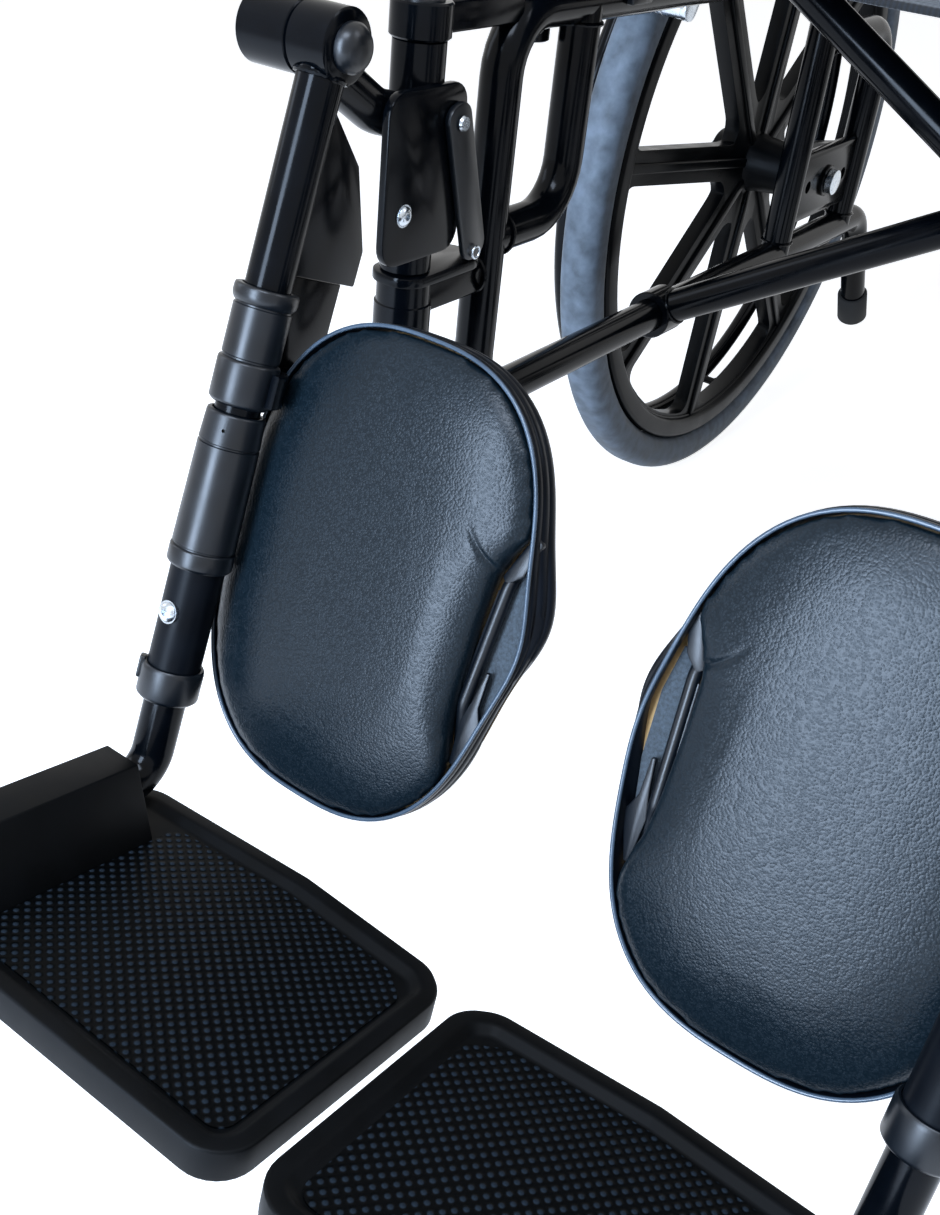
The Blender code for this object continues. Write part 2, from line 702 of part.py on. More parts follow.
def arm_frame():
    """The arm's bent tube with its skirt panel."""
    hoop = tube(
        [
            (ARM_X, ARM_FRONT_Y, ARM_BOTTOM_Z),
            (ARM_X, ARM_FRONT_Y, ARM_TOP_Z),
            (ARM_X, ARM_BACK_Y, ARM_TOP_Z),
            (ARM_X, ARM_BACK_Y, ARM_BOTTOM_Z),
        ],
        ARM_TUBE_RADIUS,
        ARM_BEND,
    )
    half = SKIRT_THICKNESS / 2
    skirt = box(
        (ARM_X - half, ARM_FRONT_Y, SKIRT_LOW_Z),
        (ARM_X + half, ARM_BACK_Y, SKIRT_HIGH_Z),
    )
    rail = rod((ARM_X, ARM_FRONT_Y, SKIRT_HIGH_Z), (ARM_X, ARM_BACK_Y, SKIRT_HIGH_Z), 0.004, sides=8)
    return joined(hoop, skirt, rail)


def arm_pad():
    """The padded armrest on top of the arm frame, set outward so that the seat rail rises past it in the fold."""
    middle, x = (ARM_FRONT_Y + ARM_BACK_Y) / 2, ARM_X + ARM_PAD_OFFSET
    half_length, half_width = ARM_PAD_LENGTH / 2, ARM_PAD_WIDTH / 2
    corners = rectangle((x - half_width, middle - half_length), (x + half_width, middle + half_length))
    base = ARM_TOP_Z + ARM_TUBE_RADIUS + CLEARANCE
    high = ARM_PAD_HEIGHT
    layers = [(0, 0), (-0.02, high * 0.2), (-0.03, high * 0.5), (0.0, high * 0.8), (0.14, high * 0.93), (0.45, high)]
    return puffed(rounded(corners, ARM_PAD_CORNER), layers, Matrix.Translation((0, 0, base)))


def wheel_window(index):
    """One window between two spokes, as a solid for cutting."""
    half = math.pi / SPOKE_COUNT
    low, high = HUB_RADIUS + WINDOW_MARGIN, RIM_RADIUS - RIM_DEPTH - 0.004
    near = half - math.asin(SPOKE_ROOT_WIDTH / 2 / low)
    far = half - math.asin(SPOKE_TIP_WIDTH / 2 / high)
    corners = [(low * math.cos(angle), low * math.sin(angle)) for angle in (near, -near)]
    for step in range(-1, 2):
        angle = far * step
        corners.append((high * math.cos(angle), high * math.sin(angle)))
    turn = Matrix.Rotation(math.tau * index / SPOKE_COUNT + WINDOW_TURN, 4, "X")
    place = Matrix.Translation(AXLE) @ turn @ side_plane(0)
    return slab(corners, 2 * SPOKE_THICKNESS, place)


def rear_wheel():
    """The one-piece wheel: hub, spokes and rim, turned whole with the windows cut out."""
    hole, inner = bore_radius(AXLE_RADIUS), RIM_RADIUS - RIM_DEPTH
    web, edge = SPOKE_THICKNESS / 2, RIM_WIDTH / 2
    profile = [
        (hole, HUB_OUTER_X - WHEEL_X),
        (HUB_RADIUS * 0.85, HUB_OUTER_X - WHEEL_X),
        (HUB_RADIUS, web),
        (inner, web),
        (inner, edge),
        (RIM_RADIUS, edge),
        (RIM_RADIUS, -edge),
        (inner, -edge),
        (inner, -web),
        (HUB_RADIUS, -web),
        (HUB_RADIUS * 0.85, HUB_INNER_X - WHEEL_X),
        (hole, HUB_INNER_X - WHEEL_X),
    ]
    wheel = turned(profile, AXLE, (1, 0, 0), TURN_SIDES)
    return cut(wheel, *[wheel_window(index) for index in range(SPOKE_COUNT)])


def tyre(radius, depth, width, centre, sides):
    """A tyre with a rounded tread."""
    half, inner = width / 2, radius - depth
    side = [
        (inner, half * 0.72),
        (inner + depth * 0.40, half),
        (inner + depth * 0.78, half * 0.86),
        (radius, half * 0.30),
    ]
    profile = side + [(height, -across) for height, across in reversed(side)]
    return turned(profile, centre, (1, 0, 0), sides)


def handrim():
    """The handrim and its stand-offs."""
    centre = AXLE + Vector((HANDRIM_OFFSET, 0, 0))
    section = [
        (HANDRIM_RADIUS + HANDRIM_TUBE * math.cos(angle), HANDRIM_TUBE * math.sin(angle))
        for angle in (math.tau * step / 6 for step in range(6))
    ]
    hoop = turned(section, centre, (1, 0, 0), TURN_SIDES)
    start = RIM_WIDTH / 2 + CLEARANCE
    stands = []
    for index in range(STANDOFF_COUNT):
        angle = math.tau * (index + 0.75) / STANDOFF_COUNT
        way = Vector((0, math.cos(angle), math.sin(angle))) * HANDRIM_RADIUS
        end = centre + way - Vector((HANDRIM_TUBE * 0.3, 0, 0))
        stands.append(rod(AXLE + way + Vector((start, 0, 0)), end, STANDOFF_RADIUS, sides=6))
    return joined(hoop, *stands)


def rear_axle():
    """The axle bolt with its head, spacer and nut."""
    sleeve_start = SIDE_X - AXLE_PLATE_THICKNESS / 2 - 0.003
    sleeve_end = SIDE_X + AXLE_SLEEVE_REACH
    y, z = AXLE_Y, WHEEL_RADIUS

    def collar(start, end, radius):
        return rod((start, y, z), (end, y, z), radius)

    head_end = sleeve_start - CLEARANCE
    nut_start = HUB_OUTER_X + CLEARANCE
    shank = collar(head_end - AXLE_HEAD * 0.5, nut_start + AXLE_HEAD * 0.5, AXLE_RADIUS)
    head = collar(head_end - AXLE_HEAD, head_end, AXLE_HEAD_RADIUS)
    spacer = collar(sleeve_end + CLEARANCE, HUB_INNER_X - CLEARANCE, AXLE_HEAD_RADIUS)
    nut = collar(nut_start, nut_start + AXLE_HEAD, AXLE_HEAD_RADIUS)
    return joined(shank, head, spacer, nut)


def caster_fork():
    """The caster fork: stem, crown, two legs and the axle pin."""
    x, y = SIDE_X, CASTER_Y
    half = CASTER_HUB_WIDTH / 2 + 0.001
    crown_top = FORK_CROWN_Z + FORK_CROWN
    stem = rod((x, y, FORK_CROWN_Z + 0.002), (x, y, BARREL_STEM_TOP_Z - CLEARANCE), CASTER_STEM_RADIUS)
    washer = rod((x, y, crown_top - 0.002), (x, y, BARREL_BOTTOM_Z - CLEARANCE), BARREL_RADIUS)
    crown = box(
        (x - half - FORK_PLATE, y - 0.020, FORK_CROWN_Z),
        (x + half + FORK_PLATE, y + 0.034, crown_top),
    )
    axle_y, axle_z = CASTER_AXLE.y, CASTER_AXLE.z
    leg_outline = [
        (y - 0.018, crown_top - 0.001),
        (y - 0.018, FORK_CROWN_Z),
        (axle_y - 0.015, axle_z - 0.002),
        (axle_y - 0.010, axle_z - 0.013),
        (axle_y + 0.010, axle_z - 0.013),
        (axle_y + 0.015, axle_z - 0.002),
        (y + 0.032, FORK_CROWN_Z),
        (y + 0.032, crown_top - 0.001),
    ]
    middle = half + FORK_PLATE / 2 - 0.0005
    legs = [slab(leg_outline, FORK_PLATE, side_plane(x + way * middle)) for way in (-1, 1)]
    pin_half = half + FORK_PLATE + 0.003
    pin = rod((x - pin_half, axle_y, axle_z), (x + pin_half, axle_y, axle_z), CASTER_PIN_RADIUS)
    return joined(crown, stem, washer, *legs, pin)


def caster_wheel():
    """The caster's wheel, turned with a thin web."""
    hole = bore_radius(CASTER_PIN_RADIUS)
    rim = CASTER_RADIUS - CASTER_TYRE_DEPTH - CLEARANCE
    hub, edge, web = CASTER_HUB_WIDTH / 2, CASTER_TYRE_WIDTH * 0.36, 0.004
    half = [(hole, hub), (0.014, hub), (0.018, web), (rim - 0.010, web), (rim, edge)]
    profile = half + [(radius, -height) for radius, height in reversed(half)]
    return turned(profile, CASTER_AXLE, (1, 0, 0), SMALL_TURN_SIDES)


def hanger_pin():
    """The pin that the hanger turns on, with the catch plate behind it that the hanger latches on."""
    x, y = SIDE_X, CASTER_Y
    low, high = HINGE_LOW_Z - PIN_SEAT + CLEARANCE, HINGE_HIGH_Z + PIN_SEAT - CLEARANCE
    pin = rod((x, y, low), (x, y, high), PIN_RADIUS)
    half = CATCH_WIDTH / 2
    outline = rounded(rectangle((x - half, y - half), (x + half, y + CATCH_REACH)), CATCH_WIDTH * 0.42)
    middle = HINGE_LOW_Z + CLEARANCE + CATCH_THICKNESS / 2
    plate = slab(outline, CATCH_THICKNESS, Matrix.Translation((0, 0, middle)))
    return joined(pin, plate)


def hanger():
    """The hanger: pivot tube, side plate with its bolt and stud, arm, knee eye and knee stud."""
    x, y = SIDE_X, CASTER_Y
    low, high = HINGE_LOW_Z + CATCH_THICKNESS + 2 * CLEARANCE, HINGE_HIGH_Z - CLEARANCE
    pivot_tube = rod((x, y, low), (x, y, high), HINGE_TUBE_RADIUS)
    plate_x = x - HINGE_TUBE_RADIUS - HANGER_PLATE / 2 + 0.002
    outline = rounded(
        rectangle((HANGER_PLATE_FRONT_Y, HANGER_PLATE_LOW_Z), (HANGER_PLATE_BACK_Y, HANGER_PLATE_HIGH_Z)), 0.012
    )
    plate = slab(outline, HANGER_PLATE, side_plane(plate_x))
    face_x = plate_x - HANGER_PLATE / 2
    bolt = rod(
        (face_x + 0.002, *HANGER_BOLT_YZ), (face_x - BOLT_HEAD, *HANGER_BOLT_YZ), BOLT_HEAD_RADIUS
    )
    stud_end = face_x - 2 * CLEARANCE - LEVER_THICKNESS - 0.001
    stud = rod((face_x + 0.002, *LEVER_PIVOT_YZ), (stud_end, *LEVER_PIVOT_YZ), LEVER_STUD_RADIUS)
    knee_start = LEG_X + KNEE_EYE_WIDTH / 2 + CLEARANCE
    arm = tube(
        [(x, y - 0.005, HANGER_ARM_Z), (x, y - 0.035, HANGER_ARM_Z + 0.008), (x - 0.003, KNEE.y, KNEE.z)],
        HANGER_ARM_RADIUS,
        0.040,
    )
    eye = rod((knee_start, KNEE.y, KNEE.z), (x + 0.012, KNEE.y, KNEE.z), KNEE_EYE_RADIUS)
    head_start = LEG_X - KNEE_EYE_WIDTH / 2 - CLEARANCE
    knee_stud = rod((head_start - 0.002, KNEE.y, KNEE.z), (x, KNEE.y, KNEE.z), KNEE_STUD_RADIUS)
    head = rod((head_start - KNEE_HEAD, KNEE.y, KNEE.z), (head_start, KNEE.y, KNEE.z), KNEE_HEAD_RADIUS)
    body = joined(pivot_tube, plate, bolt, stud, arm, eye, knee_stud, head)
    return cut(body, rod((x, y, low - 0.01), (x, y, high + 0.01), bore_radius(PIN_RADIUS)))


def release_lever():
    """The lever that lets the hanger swing, a flat tongue on the hanger's plate."""
    pivot, end = Vector((*LEVER_PIVOT_YZ, 0)), Vector((*LEVER_END_YZ, 0))
    way = (end - pivot).normalized()
    across = Vector((-way.y, way.x, 0)) * LEVER_WIDTH / 2
    back = pivot - way * LEVER_WIDTH / 2
    corners = [back + across, back - across, end - across, end + across]
    outline = rounded([(corner.x, corner.y) for corner in corners], LEVER_WIDTH * 0.42)
    face_x = SIDE_X - HINGE_TUBE_RADIUS - HANGER_PLATE + 0.002
    x = face_x - CLEARANCE - LEVER_THICKNESS / 2
    tongue = slab(outline, LEVER_THICKNESS, side_plane(x))
    hole = rod((x - 0.01, *LEVER_PIVOT_YZ), (x + 0.01, *LEVER_PIVOT_YZ), bore_radius(LEVER_STUD_RADIUS))
    return cut(tongue, hole)


def leg_lug():
    """The flat lug behind the leg tube, where a raising legrest is propped."""
    start = LEG_TUBE_RADIUS - 0.002
    outline = [
        (start, LUG_LOW),
        (LUG_DEPTH - 0.0015, LUG_LOW),
        (LUG_DEPTH, LUG_LOW + 0.0035),
        (LUG_DEPTH, LUG_SHOULDER),
        (LUG_DEPTH * 2 / 3, LUG_WAIST),
        (start, LUG_HIGH),
    ]
    return slab(outline, LUG_THICKNESS, LEG_FRAME @ side_plane(0))


def leg_tube():
    """The leg's upper tube with its lug, hung on the knee stud."""
    shaft = rod((0, 0, LEG_TUBE_END), (0, 0, LEG_LENGTH), LEG_TUBE_RADIUS, LEG_FRAME)
    half = KNEE_EYE_WIDTH / 2
    eye = rod((-half, 0, LEG_LENGTH), (half, 0, LEG_LENGTH), KNEE_EYE_RADIUS, LEG_FRAME)
    hole = rod((-0.03, 0, LEG_LENGTH), (0.03, 0, LEG_LENGTH), bore_radius(KNEE_STUD_RADIUS), LEG_FRAME)
    return cut(joined(shaft, eye, leg_lug()), hole)


def upper_sleeve():
    """The upper plastic sleeve, with its ring below and its lip above."""
    hole = bore_radius(LEG_TUBE_RADIUS)
    profile = [
        (hole, UPPER_SLEEVE_HIGH),
        (UPPER_SLEEVE_LIP_RADIUS - 0.001, UPPER_SLEEVE_HIGH),
        (UPPER_SLEEVE_LIP_RADIUS, UPPER_SLEEVE_HIGH - 0.001),
        (UPPER_SLEEVE_LIP_RADIUS, UPPER_SLEEVE_LIP),
        (UPPER_SLEEVE_RADIUS, UPPER_SLEEVE_LIP - 0.001),
        (UPPER_SLEEVE_RADIUS, UPPER_SLEEVE_RING + 0.001),
        (UPPER_SLEEVE_RING_RADIUS, UPPER_SLEEVE_RING),
        (UPPER_SLEEVE_RING_RADIUS, UPPER_SLEEVE_LOW + 0.002),
        (UPPER_SLEEVE_RING_RADIUS - 0.0012, UPPER_SLEEVE_LOW),
        (hole, UPPER_SLEEVE_LOW),
    ]
    return turned(profile, (0, 0, 0), (0, 0, 1), matrix=LEG_FRAME)


def lower_sleeve():
    """The lower plastic sleeve, stepped inside to seat on the clamp tube."""
    narrow, wide = bore_radius(LEG_TUBE_RADIUS), bore_radius(CLAMP_TUBE_RADIUS)
    profile = [
        (narrow, LOWER_SLEEVE_HIGH),
        (LOWER_SLEEVE_LIP_RADIUS, LOWER_SLEEVE_HIGH),
        (LOWER_SLEEVE_LIP_RADIUS, LOWER_SLEEVE_SEAM + 0.001),
        (LOWER_SLEEVE_HEAD_RADIUS, LOWER_SLEEVE_SEAM),
        (LOWER_SLEEVE_FOOT_RADIUS, LOWER_SLEEVE_RING + 0.001),
        (LOWER_SLEEVE_RING_RADIUS, LOWER_SLEEVE_RING),
        (LOWER_SLEEVE_RING_RADIUS, LOWER_SLEEVE_LOW),
        (wide, LOWER_SLEEVE_LOW),
        (wide, CLAMP_HIGH + CLEARANCE),
        (narrow, CLAMP_HIGH + CLEARANCE),
    ]
    return turned(profile, (0, 0, 0), (0, 0, 1), matrix=LEG_FRAME)


def clamp_tube():
    """The satin tube that joins the leg tube and the foot tube."""
    profile = ring(CLAMP_TUBE_RADIUS, bore_radius(LEG_TUBE_RADIUS), CLAMP_LOW, CLAMP_HIGH)
    body = turned(profile, (0, 0, 0), (0, 0, 1), matrix=LEG_FRAME)
    height = LOCK_BOLT_HEIGHT
    hole = rod((0, -0.003, height), (0, -0.03, height), bore_radius(LOCK_BOLT_RADIUS), LEG_FRAME)
    return cut(body, hole)


def lock_bolt():
    """The zinc bolt that locks the foot tube in the clamp tube."""
    height = LOCK_BOLT_HEIGHT
    tip = -FOOT_TUBE_RADIUS - CLEARANCE
    seat = -CLAMP_TUBE_RADIUS - CLEARANCE
    shank = rod((0, tip, height), (0, seat - 0.002, height), LOCK_BOLT_RADIUS, LEG_FRAME)
    head = rod(
        (0, seat, height), (0, seat - BOLT_HEAD, height), BOLT_HEAD_RADIUS, LEG_FRAME, end_radius=BOLT_HEAD_RADIUS * 0.7
    )
    return joined(shank, head)


def end_collar():
    """The plastic collar at the clamp tube's lower end."""
    narrow, wide = bore_radius(FOOT_TUBE_RADIUS), bore_radius(CLAMP_TUBE_RADIUS)
    seat = CLAMP_LOW - CLEARANCE
    outer = wide / math.cos(math.pi / TUBE_SIDES) + 0.0005
    radius = max(COLLAR_RADIUS, outer)
    profile = [
        (wide, COLLAR_HIGH),
        (radius, COLLAR_HIGH),
        (radius, COLLAR_LOW + 0.002),
        (radius - 0.0015, COLLAR_LOW),
        (narrow, COLLAR_LOW),
        (narrow, seat),
        (wide, seat),
    ]
    return turned(profile, (0, 0, 0), (0, 0, 1), matrix=LEG_FRAME)


def foot_tube():
    """The foot tube: it slides in the clamp tube and bends forward into the footplate."""
    top = LEG_FRAME @ Vector((0, 0, FOOT_TUBE_TOP))
    end = PLATE_FRAME @ Vector((0, -(CHANNEL_END - CHANNEL_CAP - CLEARANCE), 0))
    return tube([top, FOOT_PIVOT, end], FOOT_TUBE_RADIUS, FOOT_BEND)


def plate_outline(inset, outward):
    """The footplate's outline: a bowed rear edge, and a slanted corner between it and the inner edge."""
    inner, rear, front = -PLATE_INWARD + inset, PLATE_REAR - inset, -PLATE_FRONT + inset
    across, along = PLATE_SLANT
    corners = [
        (inner, front),
        (outward, front),
        (outward, rear),
        (-PLATE_INWARD / 2, rear + PLATE_BOW),
        (inner + across, rear),
        (inner, rear - along),
    ]
    return rounded(corners, PLATE_CORNER - inset * 0.8)


def footplate():
    """The moulded footplate: tray, wedge-shaped channel round the foot tube, and the tread's recess."""
    lip_top = -PLATE_DROP + PLATE_LIP
    low = -PLATE_DROP - PLATE_THICKNESS
    place = PLATE_FRAME @ Matrix.Translation((0, 0, (lip_top + low) / 2))
    tray = slab(plate_outline(0, PLATE_OUTWARD), lip_top - low, place)
    section = [
        (CHANNEL_HALF, -PLATE_DROP - OVERLAP),
        (CHANNEL_HALF, CHANNEL_HALF - 0.002),
        (CHANNEL_HALF - 0.002, CHANNEL_HALF),
        (-CHANNEL_TOP, CHANNEL_HALF),
        (-CHANNEL_FOOT, lip_top - 0.002),
        (-CHANNEL_FOOT, -PLATE_DROP - OVERLAP),
    ]
    middle = Matrix.Translation((0, -(CHANNEL_START + CHANNEL_END) / 2, 0)) @ Matrix.Rotation(math.pi / 2, 4, "X")
    channel = slab(section, CHANNEL_END - CHANNEL_START, PLATE_FRAME @ middle)
    above = PLATE_FRAME @ Matrix.Translation((0, 0, -PLATE_DROP + 0.01))
    recess = slab(plate_outline(PLATE_BORDER, -CHANNEL_FOOT - 0.001), 0.02, above)
    body = joined(cut(tray, recess), channel)
    bore_end = -(CHANNEL_END - CHANNEL_CAP)
    bore = rod((0, -CHANNEL_START + 0.01, 0), (0, bore_end, 0), bore_radius(FOOT_TUBE_RADIUS), PLATE_FRAME)
    return cut(body, bore)


def pad_place(depth):
    """A frame whose XY plane is the calf pad's plane at this depth behind the leg tube's axis."""
    centre = (PAD_SIDE - PAD_WIDTH / 2, depth, PAD_BOTTOM + PAD_HEIGHT / 2)
    return LEG_FRAME @ Matrix.Translation(centre) @ Matrix.Rotation(math.pi / 2, 4, "X")


def pad_outline(inset=0.0, bulge=0.0):
    """The calf pad's oval outline about its centre, drawn out by a bulge beside the strap slot."""
    wide, high = PAD_WIDTH / 2 - inset, PAD_HEIGHT / 2 - inset
    bulge_y = BOARD_BULGE_HEIGHT - PAD_BOTTOM - PAD_HEIGHT / 2
    points = []
    for step in range(PAD_STEPS):
        angle = math.tau * (step + 0.5) / PAD_STEPS
        across, up = math.cos(angle), math.sin(angle)
        x = wide * math.copysign(abs(across) ** (2 / PAD_ROUNDNESS), across)
        y = high * math.copysign(abs(up) ** (2 / PAD_ROUNDNESS), up)
        if across < 0:
            x -= bulge * math.exp(-(((y - bulge_y) / BOARD_BULGE_SPAN) ** 2))
        points.append((x, y))
    return points


def strap_slot():
    """The cut at the pad's inner edge that leaves room for the strap, tapering at both ends."""
    middle = PAD_BOTTOM + PAD_HEIGHT / 2
    edge, low, high = -PAD_WIDTH / 2, PAD_CUT_LOW - middle, PAD_CUT_HIGH - middle
    outline = [
        (edge - 0.02, high + PAD_CUT_HIGH_RAMP * 1.3),
        (edge - 0.001, high + PAD_CUT_HIGH_RAMP * 1.06),
        (edge + PAD_CUT_DEPTH, high),
        (edge + PAD_CUT_DEPTH, low),
        (edge - 0.001, low - PAD_CUT_LOW_RAMP * 1.06),
        (edge - 0.02, low - PAD_CUT_LOW_RAMP * 1.3),
    ]
    return slab(outline, 0.08, pad_place(PAD_BACK))


def calf_pad():
    """The cushion: upright sides drawn in at the back, and a crowned face."""
    depth = PAD_BACK - PAD_FACE
    layers = [
        (0.025, 0),
        (0.0, depth * 0.25),
        (-0.01, depth * 0.6),
        (0.0, depth),
        (0.05, depth + PAD_CROWN * 0.26),
        (0.16, depth + PAD_CROWN * 0.52),
        (0.38, depth + PAD_CROWN * 0.84),
        (0.68, depth + PAD_CROWN),
    ]
    cushion = puffed(pad_outline(), layers, pad_place(PAD_BACK))
    return cut(cushion, strap_slot())


def board_wall(front):
    """The low wall of the board beside the strap slot, which the pad's cover runs over."""
    middle = (BOARD_WALL_FRONT + front + 0.001) / 2
    thickness = front + 0.001 - BOARD_WALL_FRONT
    outer = slab(pad_outline(BOARD_INSET + 0.0002, BOARD_BULGE), thickness, pad_place(middle))
    inner = slab(pad_outline(BOARD_INSET + BOARD_WALL, BOARD_BULGE), thickness * 3, pad_place(middle))
    reach = PAD_WIDTH * 2
    below = box((-reach, 0, -0.1), (reach, 0.1, BOARD_WALL_LOW), LEG_FRAME)
    above = box((-reach, 0, BOARD_WALL_HIGH), (reach, 0.1, 0.5), LEG_FRAME)
    outside = box((PAD_SIDE - PAD_WIDTH / 2, 0, 0), (reach, 0.1, 0.4), LEG_FRAME)
    return cut(outer, inner, below, above, outside)


def pad_board():
    """The board behind the cushion, with its wall and the strap bar in the cut at its inner edge."""
    front = PAD_BACK + CLEARANCE
    outline = pad_outline(BOARD_INSET, BOARD_BULGE)
    board = slab(outline, BOARD_THICKNESS, pad_place(front + BOARD_THICKNESS / 2))
    across = PAD_SIDE - PAD_WIDTH + STRAP_BAR_SIDE
    bar_depth = front - STRAP_BAR_RISE
    bar = tube(
        [
            (across, front + 0.002, PAD_CUT_LOW + 0.002),
            (across, bar_depth, PAD_CUT_LOW + 0.010),
            (across, bar_depth, PAD_CUT_HIGH - 0.010),
            (across, front + 0.002, PAD_CUT_HIGH - 0.002),
        ],
        STRAP_BAR_RADIUS,
        matrix=LEG_FRAME,
    )
    return joined(board, board_wall(front), bar)


def bracket_fin(low, depth):
    """The upright fin of the bracket, behind the sleeve and beside the pad."""
    start = UPPER_SLEEVE_LIP_RADIUS + 0.002
    top = LUG_LOW - BRACKET_FIN_GAP
    outline = [(start, low), (depth - 0.002, low), (depth + 0.010, top - 0.022), (depth + 0.010, top), (start, top)]
    return slab(outline, BRACKET_FIN, LEG_FRAME @ side_plane(BRACKET_FIN / 2 + 0.0015))


def pad_bracket():
    """The bracket that carries the board: a half ring behind the upper sleeve, a fin and a flat bar."""
    hole = bore_radius(UPPER_SLEEVE_RING_RADIUS)
    low = UPPER_SLEEVE_LOW + 0.003
    high = low + BRACKET_WIDTH
    radius = hole + BRACKET_RING_WALL
    board_back = PAD_BACK + 2 * CLEARANCE + BOARD_THICKNESS
    collar = rod((0, 0, low), (0, 0, high), radius, LEG_FRAME)
    neck = box((-radius, 0, low), (0.004, board_back + BRACKET_BAR, high), LEG_FRAME)
    bar = box((-BRACKET_REACH, board_back, low), (0, board_back + BRACKET_BAR, high), LEG_FRAME)
    body = joined(collar, neck, bar)
    bore = rod((0, 0, low - 0.01), (0, 0, high + 0.01), hole, LEG_FRAME)
    front = box((-0.05, -0.05, low - 0.01), (0.05, 0, high + 0.01), LEG_FRAME)
    clear_of_board = box(
        (-0.06, 0, low - 0.01), (0.001, board_back, high + 0.01), LEG_FRAME
    )
    body = cut(body, bore, front, clear_of_board)
    return joined(body, bracket_fin(low + 0.002, board_back + BRACKET_BAR))


def lever_plate(start, end, radius, x, thickness):
    """A flat lever between two (y, z) points, with round ends."""
    start, end = Vector((*start, 0)), Vector((*end, 0))
    way = (end - start).normalized()
    across = Vector((-way.y, way.x, 0)) * radius
    corners = [
        start - way * radius + across,
        start - way * radius - across,
        end + way * radius - across,
        end + way * radius + across,
    ]
    outline = rounded([(corner.x, corner.y) for corner in corners], radius * 0.85)
    return slab(outline, thickness, side_plane(x + thickness / 2))


def brake_shoe():
    """The lock's shoe bar and the arm that swings it on to the tyre."""
    arm = lever_plate(BRAKE_PIVOT_YZ, BRAKE_SHOE_YZ, BRAKE_EYE_RADIUS, BRAKE_SHOE_X, BRAKE_ARM_THICKNESS)
    shoe = rod(
        (BRAKE_SHOE_X + 0.001, *BRAKE_SHOE_YZ), (WHEEL_X + BRAKE_SHOE_REACH, *BRAKE_SHOE_YZ), BRAKE_SHOE_RADIUS
    )
    hole = rod(
        (BRAKE_SHOE_X - 0.01, *BRAKE_PIVOT_YZ), (BRAKE_SHOE_X + 0.02, *BRAKE_PIVOT_YZ), bore_radius(BRAKE_STUD_RADIUS)
    )
    return cut(joined(arm, shoe), hole)


def brake_handle():
    """The lock's hand lever with its knob."""
    y, z = BRAKE_HANDLE_YZ
    way = Vector((0, -math.sin(BRAKE_HANDLE_LEAN), math.cos(BRAKE_HANDLE_LEAN)))
    middle_x = BRAKE_HANDLE_X + BRAKE_ARM_THICKNESS / 2
    start = Vector((middle_x, y, z))
    root = start + way * 0.030
    end = start + way * BRAKE_HANDLE_LENGTH
    plate = lever_plate((y, z), (root.y, root.z), BRAKE_EYE_RADIUS, BRAKE_HANDLE_X, BRAKE_ARM_THICKNESS)
    shaft = rod(root, end, BRAKE_ROD_RADIUS)
    knob = rod(end - way * BRAKE_KNOB_LENGTH, end, BRAKE_KNOB_RADIUS * 0.8, end_radius=BRAKE_KNOB_RADIUS)
    hole = rod((middle_x - 0.01, y, z), (middle_x + 0.01, y, z), bore_radius(BRAKE_STUD_RADIUS))
    return cut(joined(plate, shaft, knob), hole)


def brace(way, y):
    """One brace: hinge barrel on a lower rail, the brace tube and the seat rail at its upper end."""
    low = Vector((-way * SIDE_X, y, LOWER_RAIL_Z))
    high = Vector((way * SIDE_X, y, SEAT_RAIL_Z))
    hole = bore_radius(RAIL_RADIUS)
    half = BRACE_BARREL_LENGTH / 2
    barrel = rod((low.x, y - half, low.z), (low.x, y + half, low.z), hole + BRACE_BARREL_WALL)
    shaft = rod(low, high - (high - low).normalized() * 0.006, RAIL_RADIUS)
    rail = rod((high.x, SEAT_RAIL_FRONT_Y, high.z), (high.x, SEAT_RAIL_BACK_Y, high.z), SEAT_RAIL_RADIUS)
    body = joined(rail, shaft, barrel)
    rail_hole = rod((low.x, y - 0.03, low.z), (low.x, y + 0.03, low.z), hole)
    pivot_hole = rod((0, y - 0.03, PIVOT_Z), (0, y + 0.03, PIVOT_Z), bore_radius(PIVOT_RADIUS))
    return cut(body, rail_hole, pivot_hole)


def pivot_bolt():
    """The bolt through both braces, with its head, spacer and nut."""
    half_gap = BRACE_SPACING / 2 - RAIL_RADIUS - CLEARANCE
    outside = BRACE_SPACING / 2 + RAIL_RADIUS + CLEARANCE
    end = outside + PIVOT_HEAD

    def collar(start, finish, radius):
        return rod((0, BRACE_Y + start, PIVOT_Z), (0, BRACE_Y + finish, PIVOT_Z), radius)

    shank = collar(-end + 0.001, end - 0.001, PIVOT_RADIUS)
    spacer = collar(-half_gap, half_gap, PIVOT_HEAD_RADIUS)
    head = collar(-end, -outside, PIVOT_HEAD_RADIUS)
    nut = collar(outside, end, PIVOT_HEAD_RADIUS)
    return joined(shank, spacer, head, nut)


def cloth(width, low, high, bow, place, name):
    """A cloth panel stretched across the chair, thickened evenly, bowing in a shallow curve."""
    steps = 12
    shape = bmesh.new()
    bmesh.ops.create_grid(shape, x_segments=steps, y_segments=6, size=0.5)
    for vert in shape.verts:
        across = vert.co.x * 2
        along = low + (vert.co.y + 0.5) * (high - low)
        ripple = 0.0012 * math.sin(math.tau * 2.5 * vert.co.y) * (1 - across**2)
        vert.co = (across * width / 2, along, bow * (1 - across**2) + ripple)
    mesh = bpy.data.meshes.new(name)
    shape.to_mesh(mesh)
    shape.free()
    obj = new_object(name, mesh, place)
    thicken = obj.modifiers.new("thicken", "SOLIDIFY")
    thicken.thickness = SLING_THICKNESS
    thicken.offset = 0
    return baked(obj)


